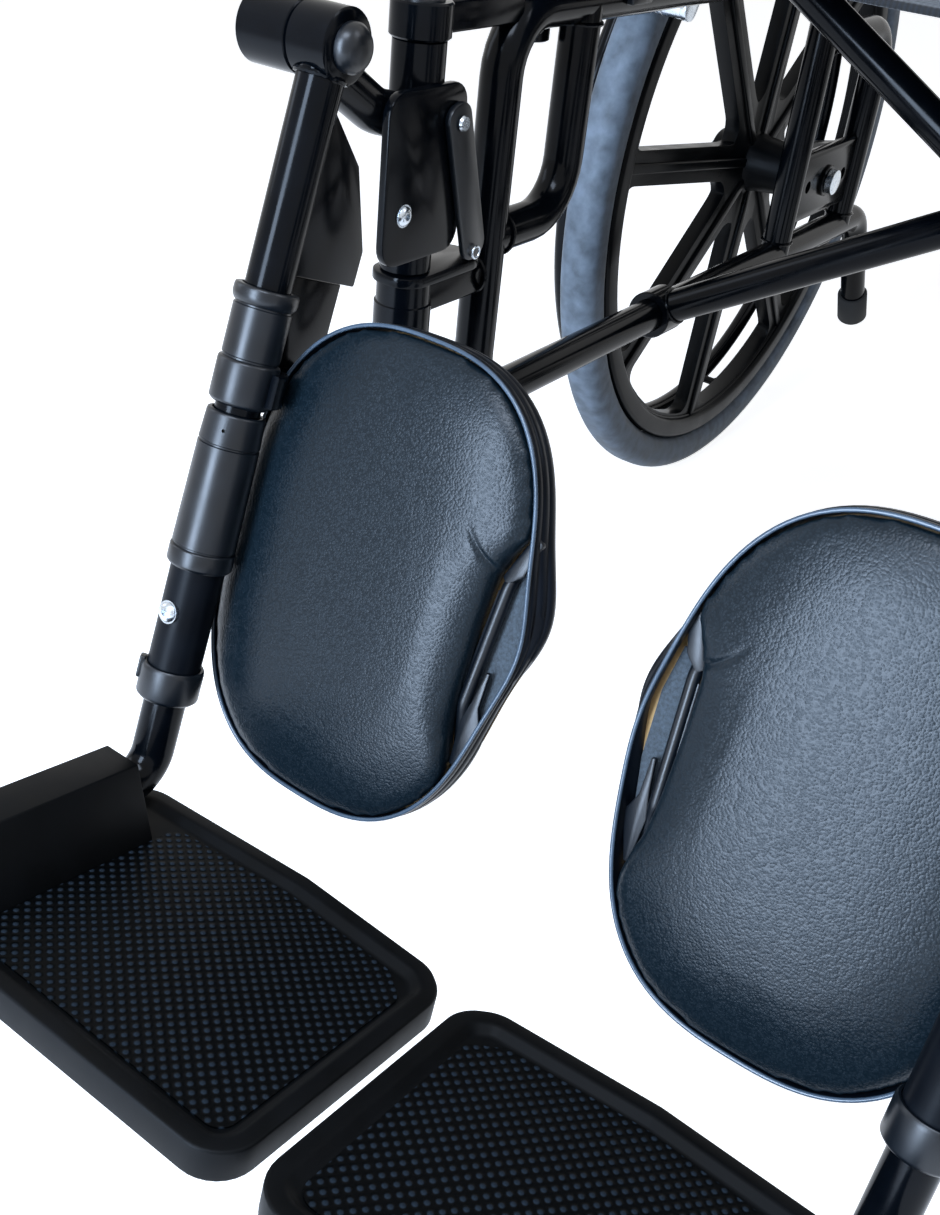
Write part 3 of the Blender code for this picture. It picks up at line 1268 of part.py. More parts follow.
def seat_sling():
    """The seat sling, laid on both seat rails and sagging between them."""
    top = SEAT_RAIL_Z + SEAT_RAIL_RADIUS + CLEARANCE + SLING_THICKNESS / 2 + 0.0015
    place = Matrix.Translation((0, 0, top))
    width = 2 * (SIDE_X + SEAT_RAIL_RADIUS)
    return cloth(width, SEAT_RAIL_FRONT_Y + 0.004, SEAT_RAIL_BACK_Y - 0.004, -SEAT_SAG, place, "seat")


def back_sling():
    """The back sling, stretched between the back posts."""
    turn = Matrix(((1, 0, 0, 0), (0, 0, 1, 0), (0, 1, 0, 0), (0, 0, 0, 1)))
    place = Matrix.Translation((0, BACK_POST_Y, 0)) @ turn
    width = 2 * (SIDE_X - RAIL_RADIUS - CLEARANCE)
    return cloth(width, BACK_SLING_LOW_Z, BACK_SLING_HIGH_Z, BACK_BOW, place, "back")


def add_part(obj, name, finish, pivot, collection):
    """Names a finished solid, gives it its material and puts its origin on its body's pivot."""
    obj.name = obj.data.name = name
    obj.data.transform(Matrix.Translation(-pivot))
    obj.location = pivot
    obj.data.materials.clear()
    obj.data.materials.append(finish_material(finish))
    obj.data.shade_smooth()
    obj.data.set_sharp_from_angle(angle=math.radians(35))
    bpy.context.scene.collection.objects.unlink(obj)
    collection.objects.link(obj)


def add_pair(build, name, finish, pivot, collection):
    """Adds a side piece on the left and its mirror image on the right."""
    left = build()
    mesh = left.data.copy()
    mesh.transform(Matrix.Scale(-1, 4, (1, 0, 0)))
    mesh.flip_normals()
    right = new_object(name, mesh)
    add_part(left, "left_" + name, finish, pivot, collection)
    add_part(right, "right_" + name, finish, Vector((-pivot.x, pivot.y, pivot.z)), collection)


def rear_tyre():
    """The rear wheel's tyre."""
    return tyre(WHEEL_RADIUS, TYRE_DEPTH, TYRE_WIDTH, AXLE, TURN_SIDES)


def caster_tyre():
    """The caster wheel's tyre."""
    return tyre(CASTER_RADIUS, CASTER_TYRE_DEPTH, CASTER_TYRE_WIDTH, CASTER_AXLE, SMALL_TURN_SIDES)


def main():
    """Builds every piece of the wheelchair."""
    clear_scene()
    parts = new_collection("wheelchair")
    rail_hinge = Vector((SIDE_X, BRACE_Y, LOWER_RAIL_Z))
    caster_top = Vector((SIDE_X, CASTER_Y, BARREL_BOTTOM_Z))
    pairs = [
        (side_frame, "side_frame", "gloss_black", rail_hinge),
        (push_grip, "push_grip", "rubber_black", rail_hinge),
        (arm_frame, "arm_frame", "gloss_black", rail_hinge),
        (arm_pad, "arm_pad", "slate_leather", rail_hinge),
        (rear_axle, "rear_axle", "zinc", rail_hinge),
        (rear_wheel, "rear_wheel", "satin_black", AXLE),
        (rear_tyre, "rear_tyre", "tyre_grey", AXLE),
        (handrim, "handrim", "gloss_black", AXLE),
        (caster_fork, "caster_fork", "gloss_black", caster_top),
        (caster_wheel, "caster_wheel", "satin_black", CASTER_AXLE),
        (caster_tyre, "caster_tyre", "tyre_grey", CASTER_AXLE),
        (brake_handle, "brake_handle", "satin_black", Vector((BRAKE_HANDLE_X, *BRAKE_HANDLE_YZ))),
        (brake_shoe, "brake_shoe", "zinc", Vector((BRAKE_SHOE_X, *BRAKE_PIVOT_YZ))),
        (hanger_pin, "hanger_pin", "zinc", HINGE),
        (hanger, "hanger", "gloss_black", HINGE),
        (release_lever, "release_lever", "satin_black", Vector((SIDE_X, *LEVER_PIVOT_YZ))),
        (leg_tube, "leg_tube", "gloss_black", KNEE),
        (clamp_tube, "clamp_tube", "satin_black", KNEE),
        (lock_bolt, "lock_bolt", "zinc", KNEE),
        (end_collar, "end_collar", "satin_black", KNEE),
        (upper_sleeve, "upper_sleeve", "satin_black", FOOT_PIVOT),
        (lower_sleeve, "lower_sleeve", "satin_black", FOOT_PIVOT),
        (pad_bracket, "pad_bracket", "gloss_black", FOOT_PIVOT),
        (pad_board, "pad_board", "board_black", FOOT_PIVOT),
        (calf_pad, "calf_pad", "slate_leather", FOOT_PIVOT),
        (foot_tube, "foot_tube", "gloss_black", FOOT_PIVOT),
        (footplate, "footplate", "satin_black", FOOT_PIVOT),
    ]
    for build, name, finish, pivot in pairs:
        add_pair(build, name, finish, pivot, parts)
    half = BRACE_SPACING / 2
    pivot = Vector((0, BRACE_Y, PIVOT_Z))
    hinge = Vector((-SIDE_X, BRACE_Y, LOWER_RAIL_Z))
    add_part(brace(1, BRACE_Y - half), "brace_a", "gloss_black", hinge, parts)
    add_part(pivot_bolt(), "pivot_bolt", "zinc", hinge, parts)
    add_part(seat_sling(), "seat_sling", "black_cloth", hinge, parts)
    add_part(brace(-1, BRACE_Y + half), "brace_b", "gloss_black", pivot, parts)
    add_part(back_sling(), "back_sling", "black_cloth", hinge, parts)


if __name__ == "__main__":
    main()
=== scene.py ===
"""The look of a folding wheelchair with elevating legrests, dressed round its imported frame.

Metres, +Z up. The chair faces -Y, and the legrest of the photograph is the occupant's right one, at -X.
Pieces that come in pairs are modelled on the left side (+X), and the right one is a mirrored copy.
"""

import json
import logging
import math
from collections.abc import Callable, Iterator, Sequence
from contextlib import contextmanager
from dataclasses import dataclass
from enum import Enum

import bmesh
import bpy
from mathutils import Matrix, Vector, noise

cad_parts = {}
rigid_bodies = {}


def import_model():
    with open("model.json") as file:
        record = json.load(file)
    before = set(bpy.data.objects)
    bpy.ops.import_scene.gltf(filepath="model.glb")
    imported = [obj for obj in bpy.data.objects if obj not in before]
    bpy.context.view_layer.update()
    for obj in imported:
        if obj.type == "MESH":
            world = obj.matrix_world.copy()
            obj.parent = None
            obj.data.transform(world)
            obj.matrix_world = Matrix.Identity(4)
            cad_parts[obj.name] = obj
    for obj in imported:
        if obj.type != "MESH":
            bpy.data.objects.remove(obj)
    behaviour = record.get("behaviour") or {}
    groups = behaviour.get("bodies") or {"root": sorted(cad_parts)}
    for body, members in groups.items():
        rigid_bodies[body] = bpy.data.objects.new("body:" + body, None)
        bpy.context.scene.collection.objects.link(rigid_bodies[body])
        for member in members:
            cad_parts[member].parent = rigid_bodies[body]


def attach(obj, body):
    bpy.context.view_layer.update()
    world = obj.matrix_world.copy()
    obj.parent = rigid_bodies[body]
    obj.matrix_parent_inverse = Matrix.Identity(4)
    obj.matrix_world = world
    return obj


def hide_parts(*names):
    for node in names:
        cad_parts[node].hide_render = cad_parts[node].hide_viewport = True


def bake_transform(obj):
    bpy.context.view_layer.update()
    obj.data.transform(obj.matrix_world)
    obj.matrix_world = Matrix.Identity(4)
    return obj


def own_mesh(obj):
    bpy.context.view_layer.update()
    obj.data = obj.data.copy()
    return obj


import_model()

log = logging.getLogger("wheelchair")
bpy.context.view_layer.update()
Point = Sequence[float]
Piece = bpy.types.Object
Tree = bpy.types.NodeTree
Node = bpy.types.Node
Socket = bpy.types.NodeSocket

SIDE_X = 0.23
LEG_LEAN = math.radians(20)
PLATE_TILT = math.radians(12)
FOOT_PIVOT = Vector((0.2, -0.5155, 0.146))
LEG = Matrix.Translation(FOOT_PIVOT) @ Matrix.Rotation(-LEG_LEAN, 4, "X")
PLATE = Matrix.Translation(FOOT_PIVOT) @ Matrix.Rotation(-PLATE_TILT, 4, "X")
KNEE = LEG @ Vector((0, 0, 0.368))
HINGE_Y = -0.285
AXLE = Vector((0.304, 0.335, 0.305))
CASTER_AXLE = Vector((SIDE_X, HINGE_Y + 0.048, 0.1))
UPPER_RAIL_Z = 0.48697
SEAT_RAIL_Z = 0.52097
LOWER_RAIL_Z = 0.25
CLOTH_FRAMES = 20
SMOOTHING_ROUNDS = 10
WELD_STEPS = 44
BAR_RIBS = 10


# ---------------------------------------------------------------- finishes


def linear(colour: str) -> tuple[float, float, float, float]:
    """Turns an sRGB hex colour to linear red, green, blue and alpha.

    Args:
        colour: a colour such as "#26343f".

    Returns:
        The linear colour with an alpha of 1.
    """
    channels = [int(colour[place : place + 2], 16) / 255 for place in (1, 3, 5)]
    red, green, blue = (c / 12.92 if c <= 0.04045 else ((c + 0.055) / 1.055) ** 2.4 for c in channels)
    return red, green, blue, 1.0


def add_node(tree: Tree, kind: str, settings: dict | None = None, links: dict | None = None) -> Node:
    """Adds a shader node with its settings and links.

    Args:
        tree: the node tree.
        kind: the node's type name.
        settings: input names or numbers with their values, or attribute names with theirs.
        links: input names or numbers with the output sockets that feed them.

    Returns:
        The new node.
    """
    node = tree.nodes.new(kind)
    for key, value in (settings or {}).items():
        if isinstance(key, int) or key in node.inputs:
            node.inputs[key].default_value = value
        else:
            setattr(node, key, value)
    for key, source in (links or {}).items():
        tree.links.new(source, node.inputs[key])
    return node


@dataclass(frozen=True)
class Finish:
    """A painted, plated or moulded finish with a fine random grain and a slight mottle.

    grain_mm is the width of the grain and grain_depth_mm its height. mottle_mm is the width of the patches in
    which the colour moves towards second_colour by mottle, and the roughness by roughness_swing.
    """

    name: str
    colour: str
    second_colour: str
    roughness: float
    metallic: float = 0.0
    ior: float = 1.5
    specular: float = 0.5
    coat: float = 0.0
    coat_roughness: float = 0.04
    sheen: float = 0.0
    grain_mm: float = 0.5
    grain_depth_mm: float = 0.01
    mottle_mm: float = 20.0
    mottle: float = 0.5
    roughness_swing: float = 0.05

    def material(self) -> bpy.types.Material:
        """Gives the finish's material, made at its first use.

        Returns:
            The material.
        """
        found = bpy.data.materials.get(self.name)
        if found:
            return found
        material = bpy.data.materials.new(self.name)
        material.use_nodes = True
        tree = material.node_tree
        shader = tree.nodes["Principled BSDF"]
        for socket, value in (
            ("Base Color", linear(self.colour)), ("Roughness", self.roughness), ("Metallic", self.metallic),
            ("Specular IOR Level", self.specular), ("Coat Weight", self.coat),
            ("Coat Roughness", self.coat_roughness), ("Sheen Weight", self.sheen),
        ):
            shader.inputs[socket].default_value = value
        if not self.metallic:
            shader.inputs["IOR"].default_value = self.ior
        self.pattern(tree, shader, add_node(tree, "ShaderNodeTexCoord").outputs["Object"])
        return material

    def mottled(self, tree: Tree, shader: Node, place: Socket, factor: Socket | None = None) -> None:
        """Moves colour and roughness in soft patches, or by a factor that is given.

        Args:
            tree: the material's node tree.
            shader: its Principled BSDF.
            place: the socket of the coordinates.
            factor: a socket from 0 to 1 to use in place of the soft patches.
        """
        if factor is None:
            patches = add_node(
                tree, "ShaderNodeTexNoise", {"Scale": 1000 / self.mottle_mm, "Detail": 4.0},
                {"Vector": place},
            )
            factor = patches.outputs[0]
        spread = add_node(
            tree, "ShaderNodeMapRange", {"From Min": 0.3, "From Max": 0.7, "To Max": self.mottle},
            {"Value": factor},
        )
        mix = add_node(
            tree, "ShaderNodeMix",
            {"data_type": "RGBA", 6: linear(self.colour), 7: linear(self.second_colour)},
            {0: spread.outputs[0]},
        )
        tree.links.new(mix.outputs[2], shader.inputs["Base Color"])
        swing = self.roughness_swing
        rough = add_node(
            tree, "ShaderNodeMapRange",
            {
                "From Min": 0.3, "From Max": 0.7, "To Min": self.roughness - swing,
                "To Max": self.roughness + swing,
            },
            {"Value": factor},
        )
        tree.links.new(rough.outputs[0], shader.inputs["Roughness"])

    def pattern(self, tree: Tree, shader: Node, place: Socket) -> None:
        """Draws the finish's pattern: patches of colour, and a fine random grain as relief.

        Args:
            tree: the material's node tree.
            shader: its Principled BSDF.
            place: the socket of the coordinates.
        """
        self.mottled(tree, shader, place)
        grain = add_node(
            tree, "ShaderNodeTexNoise", {"Scale": 1000 / self.grain_mm, "Detail": 3.0}, {"Vector": place},
        )
        self.relief(tree, shader, grain.outputs[0], self.grain_depth_mm)

    @staticmethod
    def relief(tree: Tree, shader: Node, height: Socket, depth_mm: float) -> None:
        """Turns a height socket into the shader's relief, depth_mm from its lowest to its highest.

        Args:
            tree: the material's node tree.
            shader: its Principled BSDF.
            height: a socket from 0 to 1.
            depth_mm: the height of the relief.
        """
        bump = add_node(
            tree, "ShaderNodeBump", {"Strength": 1.0, "Distance": depth_mm / 1000}, {"Height": height},
        )
        tree.links.new(bump.outputs[0], shader.inputs["Normal"])
        if shader.inputs["Coat Weight"].default_value:
            tree.links.new(bump.outputs[0], shader.inputs["Coat Normal"])


@dataclass(frozen=True)
class Leathercloth(Finish):
    """Embossed PVC leathercloth: rounded pebbles with creases between them, glossier on their tops."""

    pebble_mm: float = 1.5
    pebble_depth_mm: float = 0.16

    def pattern(self, tree: Tree, shader: Node, place: Socket) -> None:
        """Draws pebbles of two sizes and their creases, with painted shade darkening the creases.

        Args:
            tree: the material's node tree.
            shader: its Principled BSDF.
            place: the socket of the coordinates.
        """
        warp = add_node(tree, "ShaderNodeTexNoise", {"Scale": 260.0, "Detail": 2.0}, {"Vector": place})
        bent = add_node(
            tree, "ShaderNodeVectorMath", {"operation": "MULTIPLY_ADD", 1: (0.0016, 0.0016, 0.0016)},
            {0: warp.outputs[1], 2: place},
        )
        cells = [
            add_node(
                tree, "ShaderNodeTexVoronoi",
                {"feature": "SMOOTH_F1", "Smoothness": 0.35, "Scale": 1000 / (self.pebble_mm * size)},
                {"Vector": bent.outputs[0]},
            )
            for size in (1.0, 2.3)
        ]
        fine = add_node(
            tree, "ShaderNodeMath", {"operation": "MULTIPLY_ADD", 1: 0.45},
            {0: cells[1].outputs[0], 2: cells[0].outputs[0]},
        )
        height = add_node(
            tree, "ShaderNodeMapRange", {"From Min": 0.25, "From Max": 1.15, "To Min": 1.0, "To Max": 0.0},
            {"Value": fine.outputs[0]},
        )
        # The colour follows the height: painted shade darkens the creases, and the pebble tops are lighter.
        self.mottled(tree, shader, place, height.outputs[0])
        self.relief(tree, shader, height.outputs[0], self.pebble_depth_mm)


@dataclass(frozen=True)
class Woven(Finish):
    """A weave: two sets of threads at right angles, in the plane of two axes."""

    thread_mm: float = 1.4
    thread_depth_mm: float = 0.25
    turn_deg: float = 0.0
    flat_axis: str = "Z"

    def pattern(self, tree: Tree, shader: Node, place: Socket) -> None:
        """Draws the threads as crossing ridges, with painted shade darkening the gaps.

        Args:
            tree: the material's node tree.
            shader: its Principled BSDF.
            place: the socket of the coordinates.
        """
        turn = {"X": (0, math.pi / 2, 0), "Y": (math.pi / 2, 0, 0), "Z": (0, 0, 0)}[self.flat_axis]
        laid = add_node(
            tree, "ShaderNodeMapping", {"vector_type": "POINT", "Rotation": turn}, {"Vector": place},
        )
        laid = add_node(
            tree, "ShaderNodeMapping",
            {"vector_type": "POINT", "Rotation": (0, 0, math.radians(self.turn_deg))},
            {"Vector": laid.outputs[0]},
        )
        threads = [
            add_node(
                tree, "ShaderNodeTexWave",
                {"bands_direction": way, "Scale": 1000 / self.thread_mm / 20 * math.pi, "Distortion": 0.0},
                {"Vector": laid.outputs[0]},
            )
            for way in ("X", "Y")
        ]
        crossed = add_node(
            tree, "ShaderNodeMath", {"operation": "MULTIPLY"},
            {0: threads[0].outputs[1], 1: threads[1].outputs[1]},
        )
        # The colour follows the ridges: the gaps are painted darker as shade, and the ridge tops lighter.
        self.mottled(tree, shader, place, crossed.outputs[0])
        self.relief(tree, shader, crossed.outputs[0], self.thread_depth_mm)


class Finishes(Enum):
    """Each finish of the chair, with what it gives the eye."""

    # Stove enamel on steel tube: deep black and glossy, with the slight waviness of sprayed paint.
    ENAMEL = Finish(
        "stove_enamel_black", "#030508", "#070a0f", 0.17, specular=0.11, grain_mm=2.2, grain_depth_mm=0.01,
    )
    # Satin powder coat on the clamp tube: black with a soft broad highlight and a fine dry texture.
    SATIN = Finish(
        "satin_powder_coat", "#05070b", "#0b1016", 0.38, specular=0.08, grain_mm=0.6, grain_depth_mm=0.014,
    )
    # Nylon mouldings, from a spark-eroded mould: near black, blue in a broad soft highlight.
    PLASTIC = Finish(
        "moulded_nylon_black", "#05090e", "#090f16", 0.33, specular=0.42, grain_mm=0.35, grain_depth_mm=0.02,
    )
    # The wheel's glass-filled nylon: a shade darker and smoother than the sleeves.
    WHEEL = Finish(
        "glass_filled_nylon", "#030507", "#080b10", 0.32, specular=0.08, grain_mm=0.8, grain_depth_mm=0.015,
    )
    # Bright zinc plate on steel: a cool pale metal with a soft sheen and slight clouding.
    ZINC = Finish(
        "zinc_plated_steel", "#ccd3da", "#aeb8c2", 0.24, 1.0, grain_mm=0.5, grain_depth_mm=0.004,
        mottle_mm=3.0,
    )
    # Chrome plate, on the small ball of the link.
    CHROME = Finish(
        "chrome_plate", "#dfe6ee", "#c9d2dc", 0.08, 1.0, grain_depth_mm=0.001, roughness_swing=0.02,
    )
    # Slate blue leathercloth with a fine pebble grain, painted a little darker in its creases as shade.
    LEATHER = Leathercloth(
        "leathercloth_slate", "#0a141a", "#111c23", 0.33, specular=0.24, mottle=0.45, pebble_mm=1.15,
        pebble_depth_mm=0.1,
    )
    # The vinyl piping bead: smooth, paler than the pad, with a bright line where the light strikes it.
    # Its colour, paler than the pad, is a painted highlight along the bead.
    PIPING = Finish("vinyl_piping", "#33414e", "#4c5b69", 0.24, grain_mm=0.8, grain_depth_mm=0.02)
    # The smooth vinyl that wraps the pad's edge and back.
    VINYL = Finish(
        "smooth_vinyl_black", "#06090e", "#0c121a", 0.34, specular=0.11, grain_mm=1.0, grain_depth_mm=0.03,
    )
    # Footplate: matt moulded plastic round a knurled tread.
    PLATE = Finish(
        "footplate_polypropylene", "#020304", "#06080b", 0.5, specular=0.1, grain_mm=0.5,
        grain_depth_mm=0.02,
    )
    # The tread's raised pips, 2.4 mm apart, drawn by crossing ridges that run slantwise over the plate.
    # The pips' tops are painted paler than the black between them: a painted highlight on each pip.
    TREAD = Woven(
        "footplate_tread", "#010203", "#222a32", 0.5, specular=0.07, mottle=1.0, thread_mm=2.4,
        thread_depth_mm=0.5, turn_deg=38,
    )
    # Solid polyurethane tyre: matt grey, scuffed and dusty in patches.
    TYRE = Finish(
        "polyurethane_tyre_grey", "#4c535a", "#767f89", 0.62, specular=0.3, grain_mm=1.2,
        grain_depth_mm=0.06, mottle_mm=14.0, mottle=0.9,
    )
    # Grip rubber: matt black, slightly dusty.
    RUBBER = Finish(
        "grip_rubber", "#101214", "#17191c", 0.72, specular=0.3, grain_mm=0.6, grain_depth_mm=0.04,
    )
    # Woven nylon sling: black, the threads about 1.4 mm apart, which is coarser than the real 0.6 mm so that
    # it shows.
    # In both slings, the gaps between the threads are painted darker: painted shade.
    SEAT_CLOTH = Woven("nylon_weave_seat", "#0a0b0d", "#1a1c20", 0.8, specular=0.3, sheen=0.25, mottle=1.0)
    BACK_CLOTH = Woven(
        "nylon_weave_back", "#0a0b0d", "#1a1c20", 0.8, specular=0.3, sheen=0.25, mottle=1.0, flat_axis="Y",
    )
    # Birch plywood, sealed: tan with soft darker patches.
    PLYWOOD = Finish(
        "birch_plywood", "#b08d5c", "#8a6a40", 0.55, grain_mm=1.2, grain_depth_mm=0.05, mottle_mm=2.0,
    )
    # Grey non-woven felt behind the strap bar.
    FELT = Finish(
        "non_woven_felt", "#272d32", "#434c53", 0.9, sheen=0.3, grain_mm=0.9, grain_depth_mm=0.3,
        mottle_mm=1.4, mottle=0.9,
    )


# ---------------------------------------------------------------- modelling tools


class Pick(Enum):
    """What an edit-mode selection picks."""

    VERTS = "VERT"
    EDGES = "EDGE"
    FACES = "FACE"


def take(piece: Piece) -> None:
    """Makes this object the only selected one, and the active one.

    Args:
        piece: the object.
    """
    bpy.ops.object.select_all(action="DESELECT")
    piece.select_set(True)
    bpy.context.view_layer.objects.active = piece


@contextmanager
def editing(piece: Piece) -> Iterator[None]:
    """Opens edit mode on the object with nothing selected, and leaves it at the end.

    Args:
        piece: the object.

    Returns:
        The context in which its edit mode is open.
    """
    take(piece)
    bpy.ops.object.mode_set(mode="EDIT")
    bpy.ops.mesh.select_all(action="DESELECT")
    yield
    bpy.ops.object.mode_set(mode="OBJECT")


def pick(piece: Piece, kind: Pick, test: Callable[[Vector, Vector], bool]) -> int:
    """Selects, in edit mode, what passes the test and nothing else.

    Args:
        piece: the object in edit mode.
        kind: vertices, edges or faces.
        test: takes an element's middle and normal. An edge's normal is its direction.

    Returns:
        How many were selected.
    """
    bpy.ops.mesh.select_all(action="DESELECT")
    bpy.ops.mesh.select_mode(type=kind.value)
    mesh = bmesh.from_edit_mesh(piece.data)
    mesh.normal_update()
    count = 0
    elements = {Pick.VERTS: mesh.verts, Pick.EDGES: mesh.edges, Pick.FACES: mesh.faces}[kind]
    for element in elements:
        if kind is Pick.VERTS:
            middle, normal = element.co, element.normal
        elif kind is Pick.EDGES:
            ends = [vert.co for vert in element.verts]
            middle, normal = (ends[0] + ends[1]) / 2, (ends[1] - ends[0]).normalized()
        else:
            middle, normal = element.calc_center_median(), element.normal
        if test(middle, normal):
            element.select_set(True)
            count += 1
    mesh.select_flush_mode()
    bmesh.update_edit_mesh(piece.data)
    return count


def named(name: str) -> Piece:
    """Names the primitive that was just added, and moves its place into its mesh.

    Args:
        name: its name.

    Returns:
        The named piece.
    """
    piece = bpy.context.object
    piece.name = piece.data.name = name
    take(piece)
    bpy.ops.object.transform_apply(location=True, rotation=True, scale=True)
    return piece


def disc(name: str, centre: Point, way: Point, radius: float, sides: int) -> Piece:
    """Adds a filled circle that faces this way.

    Args:
        name: its name.
        centre: its middle.
        way: the direction that it faces.
        radius: its radius.
        sides: its number of sides.

    Returns:
        The disc.
    """
    bpy.ops.object.select_all(action="DESELECT")
    turn = Vector(way).to_track_quat("Z", "Y").to_euler()
    bpy.ops.mesh.primitive_circle_add(
        vertices=sides, radius=radius, fill_type="NGON", location=Vector(centre), rotation=turn,
    )
    return named(name)


def extrude(way: Point) -> None:
    """Extrudes the selected faces this far."""
    bpy.ops.mesh.extrude_region_move(TRANSFORM_OT_translate={"value": Vector(way)})


def resize(scale: float | Point, centre: Point) -> None:
    """Scales the selection about a point."""
    value = (scale, scale, scale) if isinstance(scale, float) else tuple(scale)
    bpy.ops.transform.resize(value=value, center_override=Vector(centre))


def turned(
    name: str, start: Point, way: Point, profile: Sequence[tuple[float, float]], sides: int = 40,
) -> Piece:
    """A turned piece: a disc extruded and resized from step to step.

    Args:
        name: the piece's name.
        start: the point on the axis that heights are measured from.
        way: the axis's direction.
        profile: (height, radius) steps. A step with the same height makes a shoulder.
        sides: sides of the disc.

    Returns:
        The closed piece.
    """
    start, way = Vector(start), Vector(way).normalized()
    piece = disc(name, start + way * profile[0][0], way, profile[0][1], sides)
    with editing(piece):
        bpy.ops.mesh.select_all(action="SELECT")
        for (low, narrow), (high, wide) in zip(profile, profile[1:]):
            extrude(way * (high - low))
            if wide != narrow:
                resize(wide / narrow, start + way * high)
    return piece


def bent_tube(
    name: str, points: Sequence[Point], radius: float, bend: float = 0.03, sides: int = 28, steps: int = 7,
) -> Piece:
    """A tube through points: a disc extruded along each straight and spun round each bend.

    Args:
        name: the piece's name.
        points: the corners of its centre line.
        radius: the tube's radius.
        bend: the radius of the bends at its centre line.
        sides: sides of the section.
        steps: steps of each bend.

    Returns:
        The closed piece.
    """
    path = [Vector(point) for point in points]
    here, way = path[0], (path[1] - path[0]).normalized()
    piece = disc(name, here, way, radius, sides)
    with editing(piece):
        bpy.ops.mesh.select_all(action="SELECT")
        for corner, after in zip(path[1:], path[2:]):
            onward = (after - corner).normalized()
            angle = way.angle(onward)
            reach = bend * math.tan(angle / 2)
            extrude(corner - way * reach - here)
            here = corner - way * reach
            axis = way.cross(onward).normalized()
            centre = here + axis.cross(way) * bend
            bpy.ops.mesh.spin(steps=steps, angle=-angle, center=centre, axis=axis, dupli=False)
            here, way = corner + onward * reach, onward
        extrude(path[-1] - here)
    return piece


def hoop(
    name: str, centre: Point, radius: float, width: float, depth: float, corner: float, steps: int = 96,
    rounds: int = 3,
) -> Piece:
    """A ring about an axis along X: a rectangle with rounded corners, spun right round.

    Args:
        name: the piece's name.
        centre: the ring's middle.
        radius: its outer radius.
        width: its width along the axis.
        depth: its depth from the outer radius inwards.
        corner: the radius of its section's corners.
        steps: steps round.
        rounds: steps of each corner.

    Returns:
        The closed ring.
    """
    centre = Vector(centre)
    middle = centre + Vector((0, 0, radius - depth / 2))
    bpy.ops.object.select_all(action="DESELECT")
    bpy.ops.mesh.primitive_plane_add(size=1, location=middle, rotation=(math.pi / 2, 0, 0))
    piece = named(name)
    with editing(piece):
        bpy.ops.mesh.select_all(action="SELECT")
        resize((width, 1, depth), middle)
        bpy.ops.mesh.bevel(affect="VERTICES", offset=corner, segments=rounds)
        bpy.ops.mesh.select_all(action="SELECT")
        bpy.ops.mesh.delete(type="ONLY_FACE")
        bpy.ops.mesh.select_all(action="SELECT")
        bpy.ops.mesh.spin(steps=steps, angle=math.tau, center=centre, axis=(1, 0, 0), dupli=False)
        bpy.ops.mesh.select_all(action="SELECT")
        bpy.ops.mesh.remove_doubles(threshold=0.00002)
    return piece


def block(name: str, low: Point, high: Point, edge: float = 0.0, frame_of: Matrix | None = None) -> Piece:
    """A block between two corners, in a frame, with its edges rounded.

    Args:
        name: the piece's name.
        low: the lowest corner.
        high: the highest corner.
        edge: the radius of its edges.
        frame_of: the frame that the corners are in.

    Returns:
        The block.
    """
    low, high = Vector(low), Vector(high)
    bpy.ops.object.select_all(action="DESELECT")
    bpy.ops.mesh.primitive_cube_add(size=1, location=(low + high) / 2, scale=high - low)
    piece = named(name)
    if edge:
        with editing(piece):
            bpy.ops.mesh.select_all(action="SELECT")
            bpy.ops.mesh.bevel(affect="EDGES", offset=edge, segments=3)
    return moved(piece, frame_of)


def panel(
    name: str, low: Point, high: Point, thickness: float, corners: float | Sequence[float], place: Matrix,
    edge: float = 0.0008, rounds: int = 6,
) -> Piece:
    """A flat plate with rounded corners: a plane whose corners are bevelled, then extruded.

    Args:
        name: the piece's name.
        low: the lowest (x, y) of the outline.
        high: the highest (x, y) of the outline.
        thickness: how thick it is, half to each side of the plane.
        corners: one corner radius, or four: low low, high low, high high and low high.
        place: the frame whose XY plane the outline is in.
        edge: the radius of its edges.
        rounds: steps of each corner.

    Returns:
        The plate.
    """
    middle = ((low[0] + high[0]) / 2, (low[1] + high[1]) / 2)
    size = (high[0] - low[0], high[1] - low[1])
    radii = [corners] * 4 if isinstance(corners, float) else list(corners)
    bpy.ops.object.select_all(action="DESELECT")
    bpy.ops.mesh.primitive_plane_add(size=1, location=(*middle, -thickness / 2))
    piece = named(name)
    with editing(piece):
        bpy.ops.mesh.select_all(action="SELECT")
        resize((size[0], size[1], 1), (*middle, -thickness / 2))
        for index, radius in enumerate(radii):
            corner = Vector(
                (high[0] if index in (1, 2) else low[0], high[1] if index > 1 else low[1], -thickness / 2)
            )
            pick(piece, Pick.VERTS, lambda at, _, corner=corner: (at - corner).length < 1e-6)
            bpy.ops.mesh.bevel(affect="VERTICES", offset=radius, segments=rounds)
        bpy.ops.mesh.select_all(action="SELECT")
        extrude((0, 0, thickness))
    if edge:
        soften(piece, edge)
    return moved(piece, place)


def rounded_ring(corners: Sequence[Vector], radius: float, steps: int) -> list[Vector]:
    """Rounds the corners of a closed outline.

    Args:
        corners: its corners in order.
        radius: the radius of each round.
        steps: points on each round.

    Returns:
        The rounded outline.
    """
    points = []
    for before, corner, after in zip([corners[-1], *corners], corners, [*corners[1:], corners[0]]):
        coming, going = (before - corner).normalized(), (after - corner).normalized()
        half = coming.angle(going) / 2
        centre = corner + (coming + going).normalized() * radius / math.sin(half)
        start = corner + coming * radius / math.tan(half) - centre
        end = corner + going * radius / math.tan(half) - centre
        points += [
            centre + start.slerp(end, step / steps).normalized() * radius for step in range(steps + 1)
        ]
    return points


